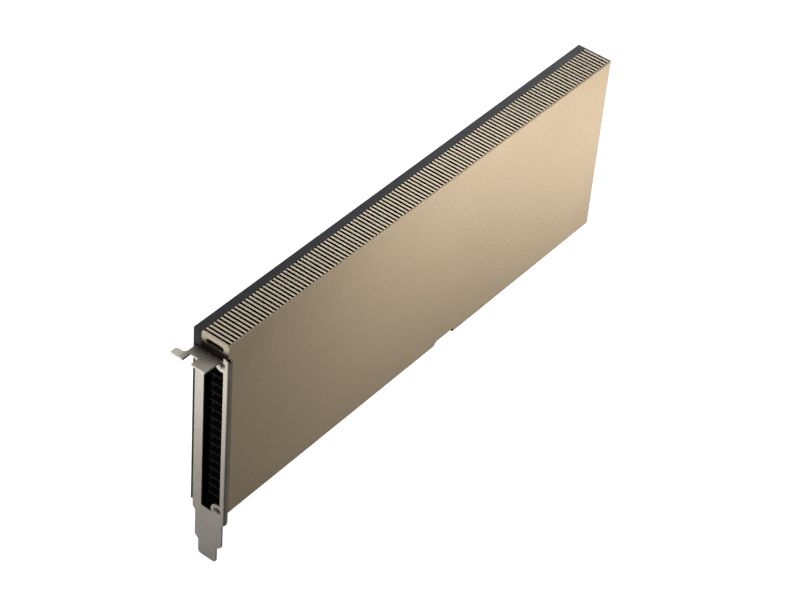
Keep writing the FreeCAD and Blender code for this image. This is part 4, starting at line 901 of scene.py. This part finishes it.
def add_floor(stage):
    """Pale floor under the bracket's foot, lifted to white where it is seen."""
    shape = bmesh.new()
    level = CAD_LOW[2] - FLOOR_GAP
    bmesh.ops.create_grid(shape, x_segments=1, y_segments=1, size=FLOOR_REACH,
                          matrix=Matrix.Translation((0.0, 0.0, level)))
    mesh = bpy.data.meshes.new("floor")
    shape.to_mesh(mesh)
    shape.free()
    floor = bpy.data.objects.new("floor", mesh)
    bpy.context.scene.collection.objects.link(floor)
    material = bpy.data.materials.new("pale_floor")
    material.use_nodes = True
    tree = material.node_tree
    shader = tree.nodes["Principled BSDF"]
    shader.inputs["Base Color"].default_value = (FLOOR_GREY, FLOOR_GREY, FLOOR_GREY, 1.0)
    shader.inputs["Roughness"].default_value = 0.9
    shader.inputs["Specular IOR Level"].default_value = 0.1
    glow = tree.nodes.new("ShaderNodeEmission")
    lift = add_math(tree, "MULTIPLY", seen_factor(tree), stage.floor_lift)
    tree.links.new(lift, glow.inputs["Strength"])
    both = tree.nodes.new("ShaderNodeAddShader")
    tree.links.new(shader.outputs["BSDF"], both.inputs[0])
    tree.links.new(glow.outputs["Emission"], both.inputs[1])
    tree.links.new(both.outputs["Shader"],
                   tree.nodes["Material Output"].inputs["Surface"])
    mesh.materials.append(material)


def add_surroundings(stage):
    """Even white surroundings, full strength where they are seen."""
    world = bpy.data.worlds.new("studio")
    bpy.context.scene.world = world
    world.use_nodes = True
    tree = world.node_tree
    ground = tree.nodes["Background"]
    ground.inputs["Color"].default_value = (1.0, 1.0, 1.0, 1.0)
    strength = add_range(tree, seen_factor(tree), 0.0, 1.0, stage.sky, 1.0)
    tree.links.new(strength, ground.inputs["Strength"])


def add_lamp(name, place, aim, side, beam, power):
    """Square area lamp turned towards a point, with its beam's angle in degrees."""
    lamp = bpy.data.lights.new(name, "AREA")
    lamp.shape = "SQUARE"
    lamp.size = side
    lamp.energy = power
    lamp.spread = math.radians(beam)
    holder = bpy.data.objects.new(name, lamp)
    bpy.context.scene.collection.objects.link(holder)
    holder.location = place
    back = Vector(place) - Vector(aim)
    holder.rotation_mode = "QUATERNION"
    holder.rotation_quaternion = back.to_track_quat("Z", "Y")
    holder.visible_camera = False


def add_camera(stage):
    """Camera at the photograph's place and angle."""
    lens = bpy.data.cameras.new("camera")
    lens.lens = stage.lens
    lens.sensor_width = SENSOR_WIDTH
    lens.clip_start, lens.clip_end = CLIP_NEAR, CLIP_FAR
    holder = bpy.data.objects.new("camera", lens)
    bpy.context.scene.collection.objects.link(holder)
    turn = Matrix((CAMERA_RIGHT, CAMERA_UP, CAMERA_BACK)).transposed()
    holder.rotation_mode = "QUATERNION"
    holder.rotation_quaternion = turn.to_quaternion()
    holder.location = CAMERA_PLACE
    bpy.context.scene.camera = holder


class CARD_OT_build_stage(bpy.types.Operator):
    """Adds the pale floor, the surroundings, the soft lamps and the camera"""
    bl_idname = "card.build_stage"
    bl_label = "Studio"

    def execute(self, context):
        stage = context.scene.card_stage
        context.scene.view_settings.view_transform = "Standard"
        add_floor(stage)
        add_surroundings(stage)
        for name, place, aim, side, beam in LAMPS:
            power = getattr(stage, name + "_power")
            add_lamp(name + "_lamp", place, aim, side, beam, power)
        add_camera(stage)
        return {"FINISHED"}


STEPS = (
    CARD_OT_dress_cover,
    CARD_OT_dress_bracket,
    CARD_OT_dress_backplate,
    CARD_OT_dress_board,
    CARD_OT_dress_packages,
    CARD_OT_dress_heat_sink,
    CARD_OT_dress_connector,
    CARD_OT_add_coupling_capacitors,
    CARD_OT_build_stage,
)
SETTINGS = (
    ("card_finishes", CardFinishes),
    ("card_details", CardDetails),
    ("card_stage", CardStage),
)


class CARD_PT_sidebar(bpy.types.Panel):
    """Settings and steps of the accelerator card"""
    bl_idname = "CARD_PT_sidebar"
    bl_label = "Accelerator card"
    bl_space_type = "VIEW_3D"
    bl_region_type = "UI"
    bl_category = PANEL_TAB

    def draw(self, context):
        layout = self.layout
        for name, group in SETTINGS:
            box = layout.box()
            box.label(text=group.__doc__)
            values = getattr(context.scene, name)
            for key in group.__annotations__:
                box.prop(values, key)
        for step in STEPS:
            layout.operator(step.bl_idname)


def register():
    for name, group in SETTINGS:
        bpy.utils.register_class(group)
        setattr(bpy.types.Scene, name, bpy.props.PointerProperty(type=group))
    for item in (*STEPS, CARD_PT_sidebar):
        bpy.utils.register_class(item)


def unregister():
    for item in (CARD_PT_sidebar, *reversed(STEPS)):
        bpy.utils.unregister_class(item)
    for name, group in reversed(SETTINGS):
        delattr(bpy.types.Scene, name)
        bpy.utils.unregister_class(group)


def main():
    register()
    bpy.ops.card.dress_cover()
    bpy.ops.card.dress_bracket()
    bpy.ops.card.dress_backplate()
    bpy.ops.card.dress_board()
    bpy.ops.card.dress_packages()
    bpy.ops.card.dress_heat_sink()
    bpy.ops.card.dress_connector()
    bpy.ops.card.add_coupling_capacitors()
    bpy.ops.card.build_stage()


if __name__ == "__main__":
    main()
